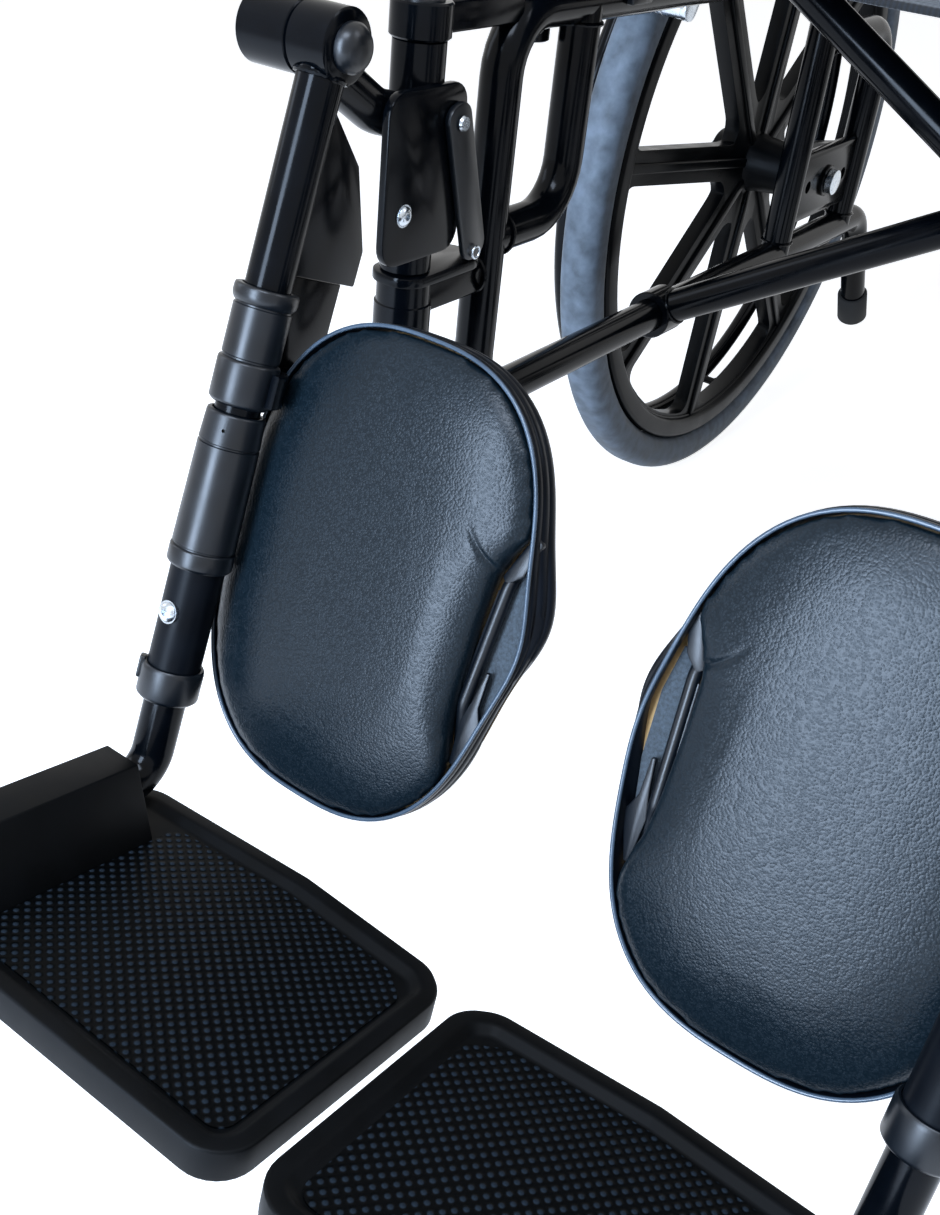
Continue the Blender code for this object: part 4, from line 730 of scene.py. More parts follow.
def across_plane(x: float, y: float = 0.0, z: float = 0.0) -> Matrix:
    """A frame with this origin whose X is the row frame's +Y, its Y +Z and its Z +X."""
    return Matrix(((0, 0, 1, x), (1, 0, 0, y), (0, 1, 0, z), (0, 0, 0, 1)))


def slab_of(
    name: str, outline: Sequence[Point], place: Matrix, thickness: float, edge: float = 0.0,
) -> Piece:
    """A flat plate of any outline: a filled ring of points, extruded.

    Args:
        name: the plate's name.
        outline: its (x, y) corners in order.
        place: the frame whose XY plane the outline is in.
        thickness: how thick it is, half to each side of the plane.
        edge: the radius of its edges.

    Returns:
        The plate.
    """
    bpy.ops.object.select_all(action="DESELECT")
    bpy.ops.mesh.primitive_circle_add(
        vertices=len(outline), radius=0.01, fill_type="NGON", location=(0, 0, 0),
    )
    piece = named(name)
    for vert, point in zip(sorted(piece.data.vertices, key=lambda v: v.index), outline):
        vert.co = (point[0], point[1], -thickness / 2)
    with editing(piece):
        bpy.ops.mesh.select_all(action="SELECT")
        extrude((0, 0, thickness))
    tidy(piece)
    if edge:
        soften(piece, edge, 2, 25)
    return moved(piece, place)


def moved(piece: Piece, place: Matrix | None) -> Piece:
    """Carries a piece's mesh into a frame, and leaves its object at the origin.

    Args:
        piece: the piece.
        place: the frame, or None to leave it as it is.

    Returns:
        The same piece.
    """
    if place is not None:
        piece.matrix_world = place
        take(piece)
        bpy.ops.object.transform_apply(location=True, rotation=True, scale=True)
    return piece


def shape_by(piece: Piece, kind: str, **settings: object) -> Piece:
    """Adds a modifier with these settings and applies it.

    Args:
        piece: the piece.
        kind: the kind of modifier.
        settings: its settings by name.

    Returns:
        The same piece.
    """
    modifier = piece.modifiers.new(kind.title(), kind)
    for name, value in settings.items():
        setattr(modifier, name, value)
    take(piece)
    bpy.ops.object.modifier_apply(modifier=modifier.name)
    return piece


def soften(piece: Piece, width: float, segments: int = 2, angle: float = 35) -> Piece:
    """Rounds the edges that are sharper than an angle in degrees.

    Args:
        piece: the piece.
        width: how wide the rounds are.
        segments: steps of each round.
        angle: the angle in degrees.

    Returns:
        The same piece.
    """
    return shape_by(
        piece, "BEVEL", width=width, segments=segments, limit_method="ANGLE",
        angle_limit=math.radians(angle),
    )


def cut_away(piece: Piece, *cutters: Piece) -> Piece:
    """Cuts closed shapes out of a piece, and removes them.

    Args:
        piece: the piece.
        cutters: the closed shapes.

    Returns:
        The same piece.
    """
    for cutter in cutters:
        tidy(cutter)
        tidy(piece)
        shape_by(piece, "BOOLEAN", operation="DIFFERENCE", solver="EXACT", object=cutter)
        bpy.data.objects.remove(cutter)
    return piece


def merged(name: str, *pieces: Piece) -> Piece:
    """Joins objects into one, which keeps each one's material.

    Args:
        name: the name of the joined piece.
        pieces: the objects.

    Returns:
        The joined piece.
    """
    take(pieces[0])
    for piece in pieces:
        piece.select_set(True)
    bpy.ops.object.join()
    pieces[0].name = pieces[0].data.name = name
    return pieces[0]


def tidy(piece: Piece) -> Piece:
    """Merges doubled points and turns each shell's faces outwards.

    Args:
        piece: the piece.

    Returns:
        The same piece.
    """
    with editing(piece):
        bpy.ops.mesh.select_all(action="SELECT")
        bpy.ops.mesh.remove_doubles(threshold=0.00001)
        bpy.ops.mesh.normals_make_consistent(inside=False)
    return piece


def painted(piece: Piece, finish: Finishes) -> Piece:
    """Gives a whole piece one finish.

    Args:
        piece: the piece.
        finish: its finish.

    Returns:
        The same piece.
    """
    piece.data.materials.clear()
    piece.data.materials.append(finish.value.material())
    return piece


def copied(piece: Piece, name: str, place: Matrix) -> Piece:
    """Copies a piece with its own mesh, carried by a matrix.

    Args:
        piece: the piece.
        name: the name of the copy.
        place: the matrix.

    Returns:
        The copy.
    """
    copy = piece.copy()
    copy.data = piece.data.copy()
    copy.name = copy.data.name = name
    bpy.context.scene.collection.objects.link(copy)
    return moved(copy, place)


def turned_copies(piece: Piece, count: int, centre: Point, axis: str, name: str) -> Piece:
    """Joins a piece with its copies turned evenly about an axis.

    Args:
        piece: the piece.
        count: how many there are in all.
        centre: a point on the axis.
        axis: X, Y or Z.
        name: the name of the joined piece.

    Returns:
        The joined piece.
    """
    centre = Matrix.Translation(Vector(centre))
    turns = [
        centre @ Matrix.Rotation(math.tau * k / count, 4, axis) @ centre.inverted() for k in range(1, count)
    ]
    return merged(name, piece, *[copied(piece, f"{name}_{index}", turn) for index, turn in enumerate(turns)])


def smooth(piece: Piece, angle: float = 40) -> Piece:
    """Tidies a piece and shades it smooth up to an angle in degrees.

    Args:
        piece: the piece.
        angle: the angle in degrees.

    Returns:
        The same piece.
    """
    tidy(piece)
    take(piece)
    bpy.ops.object.shade_smooth_by_angle(angle=math.radians(angle))
    return piece


def weld(name: str, centre: Point, way: Point, radius: float, size: float = 0.0013) -> Piece:
    """A weld bead round a tube's end: a small torus with the ripple of a run of welds.

    Args:
        name: its name.
        centre: the middle of the tube's end.
        way: the tube's direction.
        radius: the tube's radius.
        size: the radius of the bead.

    Returns:
        The bead, enamelled.
    """
    bpy.ops.object.select_all(action="DESELECT")
    turn = Vector(way).to_track_quat("Z", "Y").to_euler()
    bpy.ops.mesh.primitive_torus_add(
        major_segments=WELD_STEPS, minor_segments=7, major_radius=radius + size * 0.4, minor_radius=size,
        location=Vector(centre), rotation=turn,
    )
    piece = named(name)
    centre = Vector(centre)

    def step(at: Vector) -> int:
        """The step round the bead at which a point lies."""
        return int(around(at - centre, way) / math.tau * WELD_STEPS + 0.5) % WELD_STEPS

    with editing(piece):
        for index in range(0, WELD_STEPS, 2):
            pick(piece, Pick.VERTS, lambda at, _, index=index: step(at) == index)
            bpy.ops.transform.translate(value=Vector(way).normalized() * 0.0003)
    return painted(piece, Finishes.ENAMEL)


def around(offset: Vector, way: Point) -> float:
    """The angle of an offset about a direction, from 0 to a full turn.

    Args:
        offset: the offset from the axis.
        way: the direction.

    Returns:
        The angle in radians.
    """
    turn = Vector(way).to_track_quat("Z", "Y").to_matrix().inverted()
    local = turn @ offset
    return math.atan2(local.y, local.x) % math.tau


def button_bolt(name: str, seat: Point, way: Point, radius: float = 0.005) -> Piece:
    """A zinc button-head screw with a hexagon socket, on a thin washer.

    Args:
        name: its name.
        seat: the point of the surface that it sits on.
        way: the direction that its head faces.
        radius: the radius of its head.

    Returns:
        The screw, zinc plated.
    """
    seat, way = Vector(seat), Vector(way).normalized()
    height = radius * 0.62
    head = turned(
        name, seat, way,
        [
            (-0.001, radius * 1.18), (0.0007, radius * 1.18), (0.0007, radius * 0.96), (0.0012, radius),
            (height * 0.6, radius * 0.9), (height * 0.86, radius * 0.7), (height, radius * 0.45),
        ],
        32,
    )
    socket = turned(
        name + "_socket", seat, way,
        [(height - radius * 0.45, radius * 0.36), (height + 0.003, radius * 0.36)], 6,
    )
    cut_away(head, socket)
    return painted(head, Finishes.ZINC)


# ---------------------------------------------------------------- fitting to the frame


def fit(piece: Piece, body: str, nodes: Sequence[str] = (), angle: float = 40) -> None:
    """Finishes a piece, hangs it on its body and lets it stand for its CAD nodes.

    Args:
        piece: the finished object.
        body: the body that it rides on.
        nodes: the CAD nodes that it stands for.
        angle: the angle up to which it is shaded smooth, in degrees.
    """
    smooth(piece, angle)
    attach(piece, body)
    if nodes:
        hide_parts(*nodes)


def fit_pair(
    piece: Piece, name: str, body: str, angle: float = 40, replaces: bool = True,
) -> list[Piece]:
    """Fits a left piece and its mirrored copy on the right.

    Args:
        piece: the left piece.
        name: the name of both, without the side.
        body: the body of both, without the side.
        angle: the angle up to which it is shaded smooth, in degrees.
        replaces: whether they stand for the CAD nodes of their name.

    Returns:
        The left and the right piece.
    """
    right = copied(piece, f"right_{name}_piece", Matrix.Scale(-1, 4, (1, 0, 0)))
    piece.name = piece.data.name = f"left_{name}_piece"
    for side, obj in (("left", piece), ("right", right)):
        fit(obj, f"{side}_{body}", [f"{side}_{name}"] if replaces else [], angle)
    return [piece, right]


# ---------------------------------------------------------------- the legrest


@dataclass
class Legrest:
    """The leg's tubes and its two plastic sleeves. Heights run up the leg from the foot pivot."""

    leg_radius: float = 0.0111
    clamp_radius: float = 0.0135
    foot_radius: float = 0.0108
    eye_radius: float = 0.0165
    eye_width: float = 0.0235
    groove: float = 0.0006
    bolt_height: float = 0.095
    hole_height: float = 0.19

    def build(self) -> None:
        """Builds and fits every piece of the leg."""
        up = LEG.to_3x3() @ Vector((0, 0, 1))
        self.leg_tube(up)
        self.upper_sleeve(up)
        self.lower_sleeve(up)
        self.clamp(up)
        self.foot_tube()

    def leg_tube(self, up: Vector) -> None:
        """The gloss tube and its eye on the knee stud.

        Args:
            up: the direction up the leg.
        """
        tube = turned("leg", FOOT_PIVOT, up, [(0.154, self.leg_radius), (0.368, self.leg_radius)], 56)
        half = self.eye_width / 2
        eye = turned(
            "eye", KNEE, (1, 0, 0),
            [
                (-half, 0.0148), (-half + 0.001, self.eye_radius), (half - 0.001, self.eye_radius),
                (half, 0.0148),
            ],
            44,
        )
        lug = slab_of(
            "lug",
            [
                (0.0091, 0.266), (0.0595, 0.266), (0.06, 0.2675), (0.06, 0.284), (0.04, 0.322),
                (0.0091, 0.345),
            ],
            LEG @ across_plane(0.0), 0.005, 0.0007,
        )
        bead = weld("leg_weld", KNEE - up * 0.0145, up, self.leg_radius)
        for piece in (tube, eye, lug):
            painted(piece, Finishes.ENAMEL)
        fit_pair(merged("leg_tube", tube, eye, lug, bead), "leg_tube", "leg")

    def upper_sleeve(self, up: Vector) -> None:
        """The upper sleeve: ring, groove, barrel, groove and flared lip with a recess round the tube.

        Args:
            up: the direction up the leg.
        """
        deep = self.groove
        profile = [
            (0.202, 0.0136), (0.2033, 0.0149), (0.204, 0.0151), (0.2222, 0.0151), (0.2232, 0.0146),
            (0.2237, 0.014 - deep), (0.2245, 0.014 - deep), (0.225, 0.014), (0.2484, 0.014),
            (0.2488, 0.014 - deep), (0.2495, 0.014 - deep), (0.25, 0.0142), (0.2516, 0.0151),
            (0.2535, 0.0155), (0.2566, 0.0154), (0.2577, 0.015), (0.258, 0.0143), (0.258, 0.0122),
            (0.2545, 0.0115),
        ]
        sleeve = painted(turned("upper", FOOT_PIVOT, up, profile, 64), Finishes.PLASTIC)
        fit_pair(sleeve, "upper_sleeve", "leg", 50)

    def lower_sleeve(self, up: Vector) -> None:
        """The lower sleeve: ring, groove, tapered barrel, seam and a head with a pin hole.

        Args:
            up: the direction up the leg.
        """
        deep = self.groove
        profile = [
            (0.119, 0.0152), (0.1202, 0.0162), (0.1208, 0.0163), (0.1278, 0.0163), (0.1285, 0.016),
            (0.1288, 0.0157 - deep), (0.1295, 0.0157 - deep), (0.13, 0.0158), (0.1812, 0.0151),
            (0.1816, 0.0149 - deep), (0.1823, 0.0149 - deep), (0.1828, 0.015), (0.1966, 0.0143),
            (0.1976, 0.014), (0.198, 0.0134), (0.198, 0.0121), (0.1955, 0.0114),
        ]
        sleeve = turned("lower", FOOT_PIVOT, up, profile, 64)
        way = LEG.to_3x3() @ Vector((-0.42, -0.91, 0)).normalized()
        seat = LEG @ Vector((0, 0, self.hole_height))
        hole = turned("hole", seat, way, [(0.0125, 0.0009), (0.02, 0.0009)], 14)
        cut_away(sleeve, hole)
        fit_pair(painted(sleeve, Finishes.PLASTIC), "lower_sleeve", "leg", 50)

    def clamp(self, up: Vector) -> None:
        """The satin clamp tube, its zinc bolt and the collar at its lower end.

        Args:
            up: the direction up the leg.
        """
        radius = self.clamp_radius
        tube = turned(
            "clamp", FOOT_PIVOT, up, [(0.054, radius - 0.0006), (0.0546, radius), (0.1675, radius)], 56,
        )
        painted(tube, Finishes.SATIN)
        fit_pair(tube, "clamp_tube", "leg")
        front = LEG.to_3x3() @ Vector((0, -1, 0))
        bolt = button_bolt("bolt", LEG @ Vector((0, -radius, self.bolt_height)), front)
        fit_pair(bolt, "lock_bolt", "leg")
        profile = [
            (0.047, 0.0128), (0.047, 0.0142), (0.0484, 0.0156), (0.0492, 0.0158), (0.0625, 0.0158),
            (0.0642, 0.0155), (0.065, 0.0149), (0.065, 0.0139), (0.063, 0.0134),
        ]
        collar = turned("collar", FOOT_PIVOT, up, profile, 56)
        ear = block(
            "ear", (-0.003, -0.0172, 0.0545), (0.003, -0.014, 0.0662), 0.0008,
            LEG @ Matrix.Rotation(0.9, 4, "Z"),
        )
        collar = merged("collar", collar, ear)
        fit_pair(painted(collar, Finishes.PLASTIC), "end_collar", "leg", 50)

    def foot_tube(self) -> None:
        """The foot tube: down the clamp tube, then forward along the footplate."""
        path = [LEG @ Vector((0, 0, 0.126)), FOOT_PIVOT, PLATE @ Vector((0, -0.1245, 0))]
        tube = painted(bent_tube("foot", path, self.foot_radius, 0.02, 48, 10), Finishes.ENAMEL)
        fit_pair(tube, "foot_tube", "foot")


@dataclass
class Footplate:
    """The moulded footplate. Sizes are in its own frame: x outward, y to the rear, z up off the tread."""

    inward: float = 0.195
    outward: float = 0.0175
    rear: float = 0.0165
    bow: float = 0.006
    slant: tuple[float, float] = (0.015, 0.012)
    front: float = 0.138
    corner: float = 0.02
    drop: float = 0.021
    lip: float = 0.004
    thickness: float = 0.012
    border: float = 0.013
    channel_half: float = 0.0165
    channel_top: float = 0.007
    channel_foot: float = 0.0235
    channel_start: float = 0.014
    channel_end: float = 0.13

    def build(self) -> None:
        """Builds and fits both footplates."""
        tray = painted(self.tray(), Finishes.PLATE)
        tread = painted(self.tread(), Finishes.TREAD)
        channel = painted(self.channel(), Finishes.PLATE)
        plate = merged("plate", tray, channel, tread)
        fit_pair(plate, "footplate", "plate", 35)

    def outline(self, inset: float, outward: float, steps: int = 8) -> list[Vector]:
        """The plate's outline: a bowed rear edge, and a slanted corner between it and the inner edge.

        Args:
            inset: how far inside the full outline it lies.
            outward: the x of its outer edge.
            steps: points on each round corner.

        Returns:
            The closed outline, anticlockwise.
        """
        inner, rear, front = -self.inward + inset, self.rear - inset, -self.front + inset
        across, along = self.slant
        corners = [
            (inner, front), (outward, front), (outward, rear), (-self.inward / 2, rear + self.bow),
            (inner + across, rear), (inner, rear - along),
        ]
        return rounded_ring([Vector((*corner, 0)) for corner in corners], self.corner - inset * 0.8, steps)

    def tray(self) -> Piece:
        """The tray: a plate with round corners, its top sunk inside a sloping border, and ribs below.

        Returns:
            The tray.
        """
        top, low = -self.drop + self.lip, -self.drop - self.thickness
        middle = Matrix.Translation((0, 0, (top + low) / 2))
        tray = slab_of("tray", self.outline(0, self.outward), middle, top - low)
        with editing(tray):
            pick(tray, Pick.FACES, lambda at, normal: normal.z > 0.9)
            bpy.ops.mesh.inset(thickness=self.border - 0.005, depth=0)
            bpy.ops.mesh.inset(thickness=0.005, depth=-self.lip)
            pick(tray, Pick.FACES, lambda at, normal: normal.z < -0.9)
            bpy.ops.mesh.inset(thickness=0.003, depth=0)
            extrude((0, 0, 0.007))
        soften(tray, 0.0014, 3, 30)
        return moved(tray, PLATE)

    def tread(self) -> Piece:
        """The knurled tread, a thin sheet laid in the sunk top."""
        place = PLATE @ Matrix.Translation((0, 0, -self.drop + 0.0002))
        return slab_of("tread", self.outline(self.border + 0.001, -self.channel_foot), place, 0.0012)

    def channel(self) -> Piece:
        """The wedge over the foot tube: an upright outer wall, and a slope down to the tread.

        Returns:
            The channel.
        """
        half, top = self.channel_half, -self.drop + self.lip
        section = [
            (half, -self.drop - 0.002), (half, half - 0.001), (half - 0.001, half),
            (-self.channel_top, half), (-self.channel_foot, top - 0.002),
            (-self.channel_foot, -self.drop - 0.002),
        ]
        middle = Matrix.Translation((0, -(self.channel_start + self.channel_end) / 2, 0))
        place = PLATE @ middle @ Matrix.Rotation(math.pi / 2, 4, "X")
        return slab_of("channel", section, place, self.channel_end - self.channel_start, 0.0016)


@dataclass
class CalfPad:
    """The calf pad: cushion, piping, vinyl band, board, strap bar in its slot, and the bracket behind.

    Its sizes are in the leg's frame: across the leg, up the leg from the foot pivot, and the depth behind the
    tube's axis. The strap slot is a list of (across, up) points along which the cushion's side stands back.
    """

    width: float = 0.1704
    height: float = 0.236
    roundness: float = 2.66
    side: float = 0.0059
    bottom: float = 0.025
    face: float = 0.022
    back: float = 0.034
    crown: float = 0.0092
    board: float = 0.006
    piping: float = 0.001
    bulge_span: float = 0.03
    front_bulge: float = 0.141
    back_bulge: float = 0.155
    slot: Sequence[tuple[float, float]] = (
        (-0.1665, 0.0465), (-0.1585, 0.06), (-0.153, 0.072), (-0.1482, 0.095), (-0.1466, 0.112),
        (-0.1468, 0.15), (-0.1482, 0.172), (-0.1525, 0.183), (-0.1585, 0.194), (-0.164, 0.201),
        (-0.1665, 0.204),
    )
    crease: Sequence[tuple[float, float]] = (
        (-0.1305, 0.1925), (-0.1326, 0.1891), (-0.1355, 0.1855), (-0.1387, 0.1823), (-0.1422, 0.1793),
        (-0.146, 0.1768), (-0.1528, 0.1729),
    )

    def build(self) -> None:
        """Builds and fits both calf pads."""
        cushion = swollen(self.cushion(), 0.0041, 0.003, 4.0, 0.002, 2)
        self.creased(cushion)
        moved(cushion, self.place(self.back))
        painted(cushion, Finishes.LEATHER)
        for pad in fit_pair(cushion, "calf_pad", "calf_rest", 180):
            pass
        fit_pair(
            painted(self.bead(), Finishes.PIPING), "pad_piping", "calf_rest", angle=180,
            replaces=False,
        )
        fit_pair(
            painted(self.band(), Finishes.VINYL), "pad_band", "calf_rest", angle=60,
            replaces=False,
        )
        self.backing()
        self.bracket()

    def place(self, depth: float) -> Matrix:
        """The frame of the pad's plane: x outward, y up the leg, z to the front, this far behind the tube."""
        centre = (self.side - self.width / 2, depth, self.bottom + self.height / 2)
        return LEG @ Matrix.Translation(centre) @ Matrix.Rotation(math.pi / 2, 4, "X")

    def local(self, across: float, height: float) -> Vector:
        """A point of the pad's plane, given across and up the leg."""
        return Vector((across - self.side + self.width / 2, height - self.bottom - self.height / 2, 0))

    def beside(self, y: float, depth: float) -> float:
        """How near a height in the pad's plane is to the bulge's middle at this depth, from 0 to 1.

        Args:
            y: the height in the pad's plane.
            depth: how far behind the tube's axis.

        Returns:
            A share from 0 to 1.
        """
        share = min(1.0, max(0.0, (depth - self.face) / (self.back - self.face)))
        middle = self.local(0, self.front_bulge + (self.back_bulge - self.front_bulge) * share).y
        return math.exp(-(((y - middle) / self.bulge_span) ** 2))

    def outline(
        self, inset: float = 0.0, bulge: float = 0.0, depth: float = 0.034, steps: int = 160,
    ) -> list[Vector]:
        """The pad's oval outline in its plane.

        Args:
            inset: how far it lies inside the full outline.
            bulge: how far it is drawn out beside the strap slot.
            depth: how far behind the tube's axis it lies.
            steps: points round it.

        Returns:
            The closed outline, anticlockwise.
        """
        wide, high = self.width / 2 - inset, self.height / 2 - inset
        points = []
        for step in range(steps):
            angle = math.tau * (step + 0.5) / steps
            across, up = math.cos(angle), math.sin(angle)
            total = abs(across / wide) ** self.roundness + abs(up / high) ** self.roundness
            reach = total ** (-1 / self.roundness)
            point = Vector((reach * across, reach * up, 0))
            if across < 0:
                point.x -= bulge * self.beside(point.y, depth)
            points.append(point)
        return points

    def slot_side(self, y: float) -> float:
        """Where the cushion's side stands in the strap slot at this height, or far out beyond its ends.

        Args:
            y: the height in the pad's plane.

        Returns:
            The place across the pad.
        """
        corners = [self.local(across, height) for across, height in self.slot]
        for low, high in zip(corners, corners[1:]):
            if low.y <= y < high.y:
                return low.x + (high.x - low.x) * (y - low.y) / (high.y - low.y)
        return -1.0

    @staticmethod
    def skinned(name: str, rings: Sequence[Sequence[Vector]], closed: bool) -> Piece:
        """Joins rings of points with faces.

        Args:
            name: the piece's name.
            rings: rings of the same number of points.
            closed: whether the last ring joins the first, or else both ends are filled.

        Returns:
            The closed surface.
        """
        shape = bmesh.new()
        rows = [[shape.verts.new(point) for point in ring] for ring in rings]
        for low, high in zip(rows, rows[1:] + rows[:1] if closed else rows[1:]):
            for k in range(len(low)):
                after = (k + 1) % len(low)
                shape.faces.new((low[k], low[after], high[after], high[k]))
        if not closed:
            shape.faces.new(list(reversed(rows[0])))
            shape.faces.new(rows[-1])
        mesh = bpy.data.meshes.new(name)
        shape.to_mesh(mesh)
        shape.free()
        piece = bpy.data.objects.new(name, mesh)
        bpy.context.scene.collection.objects.link(piece)
        return tidy(piece)

    def cushion(self) -> Piece:
        """The cushion before stuffing: rings of the outline raised to a crown, its side cut back at the slot.

        Returns:
            The cushion in the pad's plane.
        """
        depth = self.back - self.face
        layers = [
            (0.005, 0.0), (0.0036, 0.0012), (0.0034, depth * 0.4), (0.0024, depth * 0.8),
            (0.0013, depth + 0.0008), (0.0026, depth + self.crown * 0.22),
            (0.0056, depth + self.crown * 0.38), (0.0104, depth + self.crown * 0.54),
            (0.018, depth + self.crown * 0.7), (0.028, depth + self.crown * 0.85),
            (0.042, depth + self.crown * 0.95), (0.06, depth + self.crown),
        ]
        rings = []
        for inset, height in layers:
            ring = []
            for point in self.outline(inset):
                limit = self.slot_side(point.y) + (inset - 0.0026) * 0.5
                ring.append(Vector((max(point.x, limit) if point.x < 0 else point.x, point.y, height)))
            rings.append(ring)
        return self.skinned("cushion", rings, False)

    def creased(self, piece: Piece) -> None:
        """Presses in the pinch above the slot, and makes the stretched face faintly uneven.

        Args:
            piece: the swollen cushion.
        """
        points = [self.local(across, height) for across, height in self.crease]
        for vert in piece.data.vertices:
            if vert.co.z < self.back - self.face - 0.006:
                continue
            flat = Vector((vert.co.x, vert.co.y, 0))
            nearest, along, side = 1.0, 0.0, 0.0
            for index, (start, end) in enumerate(zip(points, points[1:])):
                way = end - start
                share = min(1.0, max(0.0, (flat - start).dot(way) / way.length_squared))
                offset = flat - start - way * share
                if offset.length < nearest:
                    nearest, along = offset.length, (index + share) / (len(points) - 1)
                    side = math.copysign(1.0, way.cross(offset).z)
            depth = 0.0016 * min(1.0, along * 1.6)
            vert.co.z -= depth * math.exp(-((nearest / 0.0012) ** 2))
            vert.co.z += side * 0.0005 * along * (nearest / 0.008) * math.exp(-((nearest / 0.008) ** 2))
            wave = noise.noise(vert.co * 36.0) + 0.35 * noise.noise(vert.co * 95.0)
            vert.co.z += 0.00008 * wave

    def bead(self) -> Piece:
        """The piping along the band's front edge.

        Returns:
            The piping.
        """
        curve = bpy.data.curves.new("bead", "CURVE")
        curve.dimensions = "3D"
        curve.bevel_depth = self.piping
        curve.bevel_resolution = 4
        spline = curve.splines.new("POLY")
        points = self.outline(0.001, 0.005, self.face)
        spline.points.add(len(points) - 1)
        spline.use_cyclic_u = True
        for target, point in zip(spline.points, points):
            pushed = 0.0045 * self.beside(point.y, self.face) if point.x < 0 else 0.0
            target.co = (point.x, point.y, 0.0004 - pushed, 1)
        obj = bpy.data.objects.new("bead", curve)
        bpy.context.scene.collection.objects.link(obj)
        take(obj)
        bpy.ops.object.convert(target="MESH")
        return moved(bpy.context.object, self.place(self.face))

    def band(self) -> Piece:
        """The vinyl band round the edge: it spans the slot, is wrinkled lengthwise, and wraps the board.

        Returns:
            The band.
        """
        sections = (
            (0.0018, 0.0046, 0.0218, 1.0), (0.0008, 0.0052, 0.0222, 1.0), (0.0001, 0.0058, 0.024, 0.9),
            (0.0, 0.0062, 0.0262, 0.7), (0.0006, 0.0064, 0.0269, 0.65), (-0.0002, 0.007, 0.0277, 0.6),
            (-0.0004, 0.0082, 0.0314, 0.3), (0.0003, 0.0085, 0.0322, 0.25), (-0.0004, 0.0092, 0.033, 0.2),
            (0.0, 0.0102, 0.037, 0.0), (0.001, 0.0105, 0.0398, 0.0), (0.003, 0.0103, 0.0409, 0.0),
            (0.009, 0.008, 0.041, 0.0), (0.009, 0.008, 0.0403, 0.0), (0.0032, 0.009, 0.0402, 0.0),
            (0.0026, 0.007, 0.033, 0.3), (0.0024, 0.0048, 0.025, 0.9),
        )
        torn = self.local(0, 0.11).y
        rings = []
        for inset, bulge, depth, push in sections:
            ring = []
            for point in self.outline(inset, bulge, depth):
                near = self.beside(point.y, depth) if point.x < 0 else 0.0
                bare = 0.0
                if point.x < 0 and depth > 0.0365:
                    bare = math.exp(-(((point.y - torn) / 0.016) ** 2))
                height = self.back - depth - 0.0045 * push * near + 0.0034 * bare
                ring.append(Vector((point.x + 0.0024 * bare, point.y, height)))
            rings.append(ring)
        return moved(self.skinned("band", rings, True), self.place(self.back))

    def backing(self) -> None:
        """The plywood board, the vinyl on its back, the felt in the slot and the strap bar."""
        front = self.back + 0.0002
        board = slab_of("board", self.outline(0.0016, 0.0104), self.place(front + 0.003), 0.0054, 0.0005)
        skin = slab_of("skin", self.outline(0.006, 0.008), self.place(front + 0.0059), 0.0012, 0.0004)
        rag = [
            (-0.1625, 0.176), (-0.1655, 0.154), (-0.1638, 0.123), (-0.159, 0.1), (-0.15, 0.1),
            (-0.149, 0.176),
        ]
        felt = slab_of(
            "felt", [self.local(*point) for point in rag], self.place(front - 0.0004), 0.0014, 0.0004,
        )
        painted(board, Finishes.PLYWOOD)
        painted(skin, Finishes.VINYL)
        painted(felt, Finishes.FELT)
        fit_pair(
            merged("board", board, skin, felt, self.strap_bar(front)), "pad_board", "calf_rest",
        )

    def strap_bar(self, front: float) -> Piece:
        """The moulded strap bar: a rod with a fin along it, between a wedge above and a clip below.

        Args:
            front: the board's front, behind the tube's axis.

        Returns:
            The bar in the row frame.
        """
        line = [
            (-0.153, front, 0.176), (-0.1525, 0.0285, 0.169), (-0.1488, 0.0285, 0.108),
            (-0.15, front, 0.088),
        ]
        rod = bent_tube("bar", [LEG @ Vector(point) for point in line], 0.0031, 0.012, 28, 6)
        shapes = (
            (
                "fin", 0.0277, 0.0012,
                [(-0.1487, 0.165), (-0.1505, 0.1655), (-0.1475, 0.115), (-0.1456, 0.117)],
            ),
            (
                "wedge", 0.0285, 0.004,
                [
                    (-0.1575, 0.1938), (-0.1608, 0.1945), (-0.1634, 0.1918), (-0.159, 0.1755),
                    (-0.152, 0.1685), (-0.1487, 0.1716),
                ],
            ),
            (
                "clip", 0.029, 0.0034,
                [
                    (-0.1553, 0.1268), (-0.1575, 0.1265), (-0.1572, 0.109), (-0.1612, 0.099),
                    (-0.1536, 0.078), (-0.1508, 0.0782), (-0.15, 0.1), (-0.153, 0.112),
                ],
            ),
        )
        pieces = [rod]
        for name, depth, thickness, corners in shapes:
            outline = [self.local(*point) for point in corners]
            pieces.append(slab_of(name, outline, self.place(depth), thickness, thickness * 0.22))
        return painted(merged("strap_bar", *pieces), Finishes.PLASTIC)

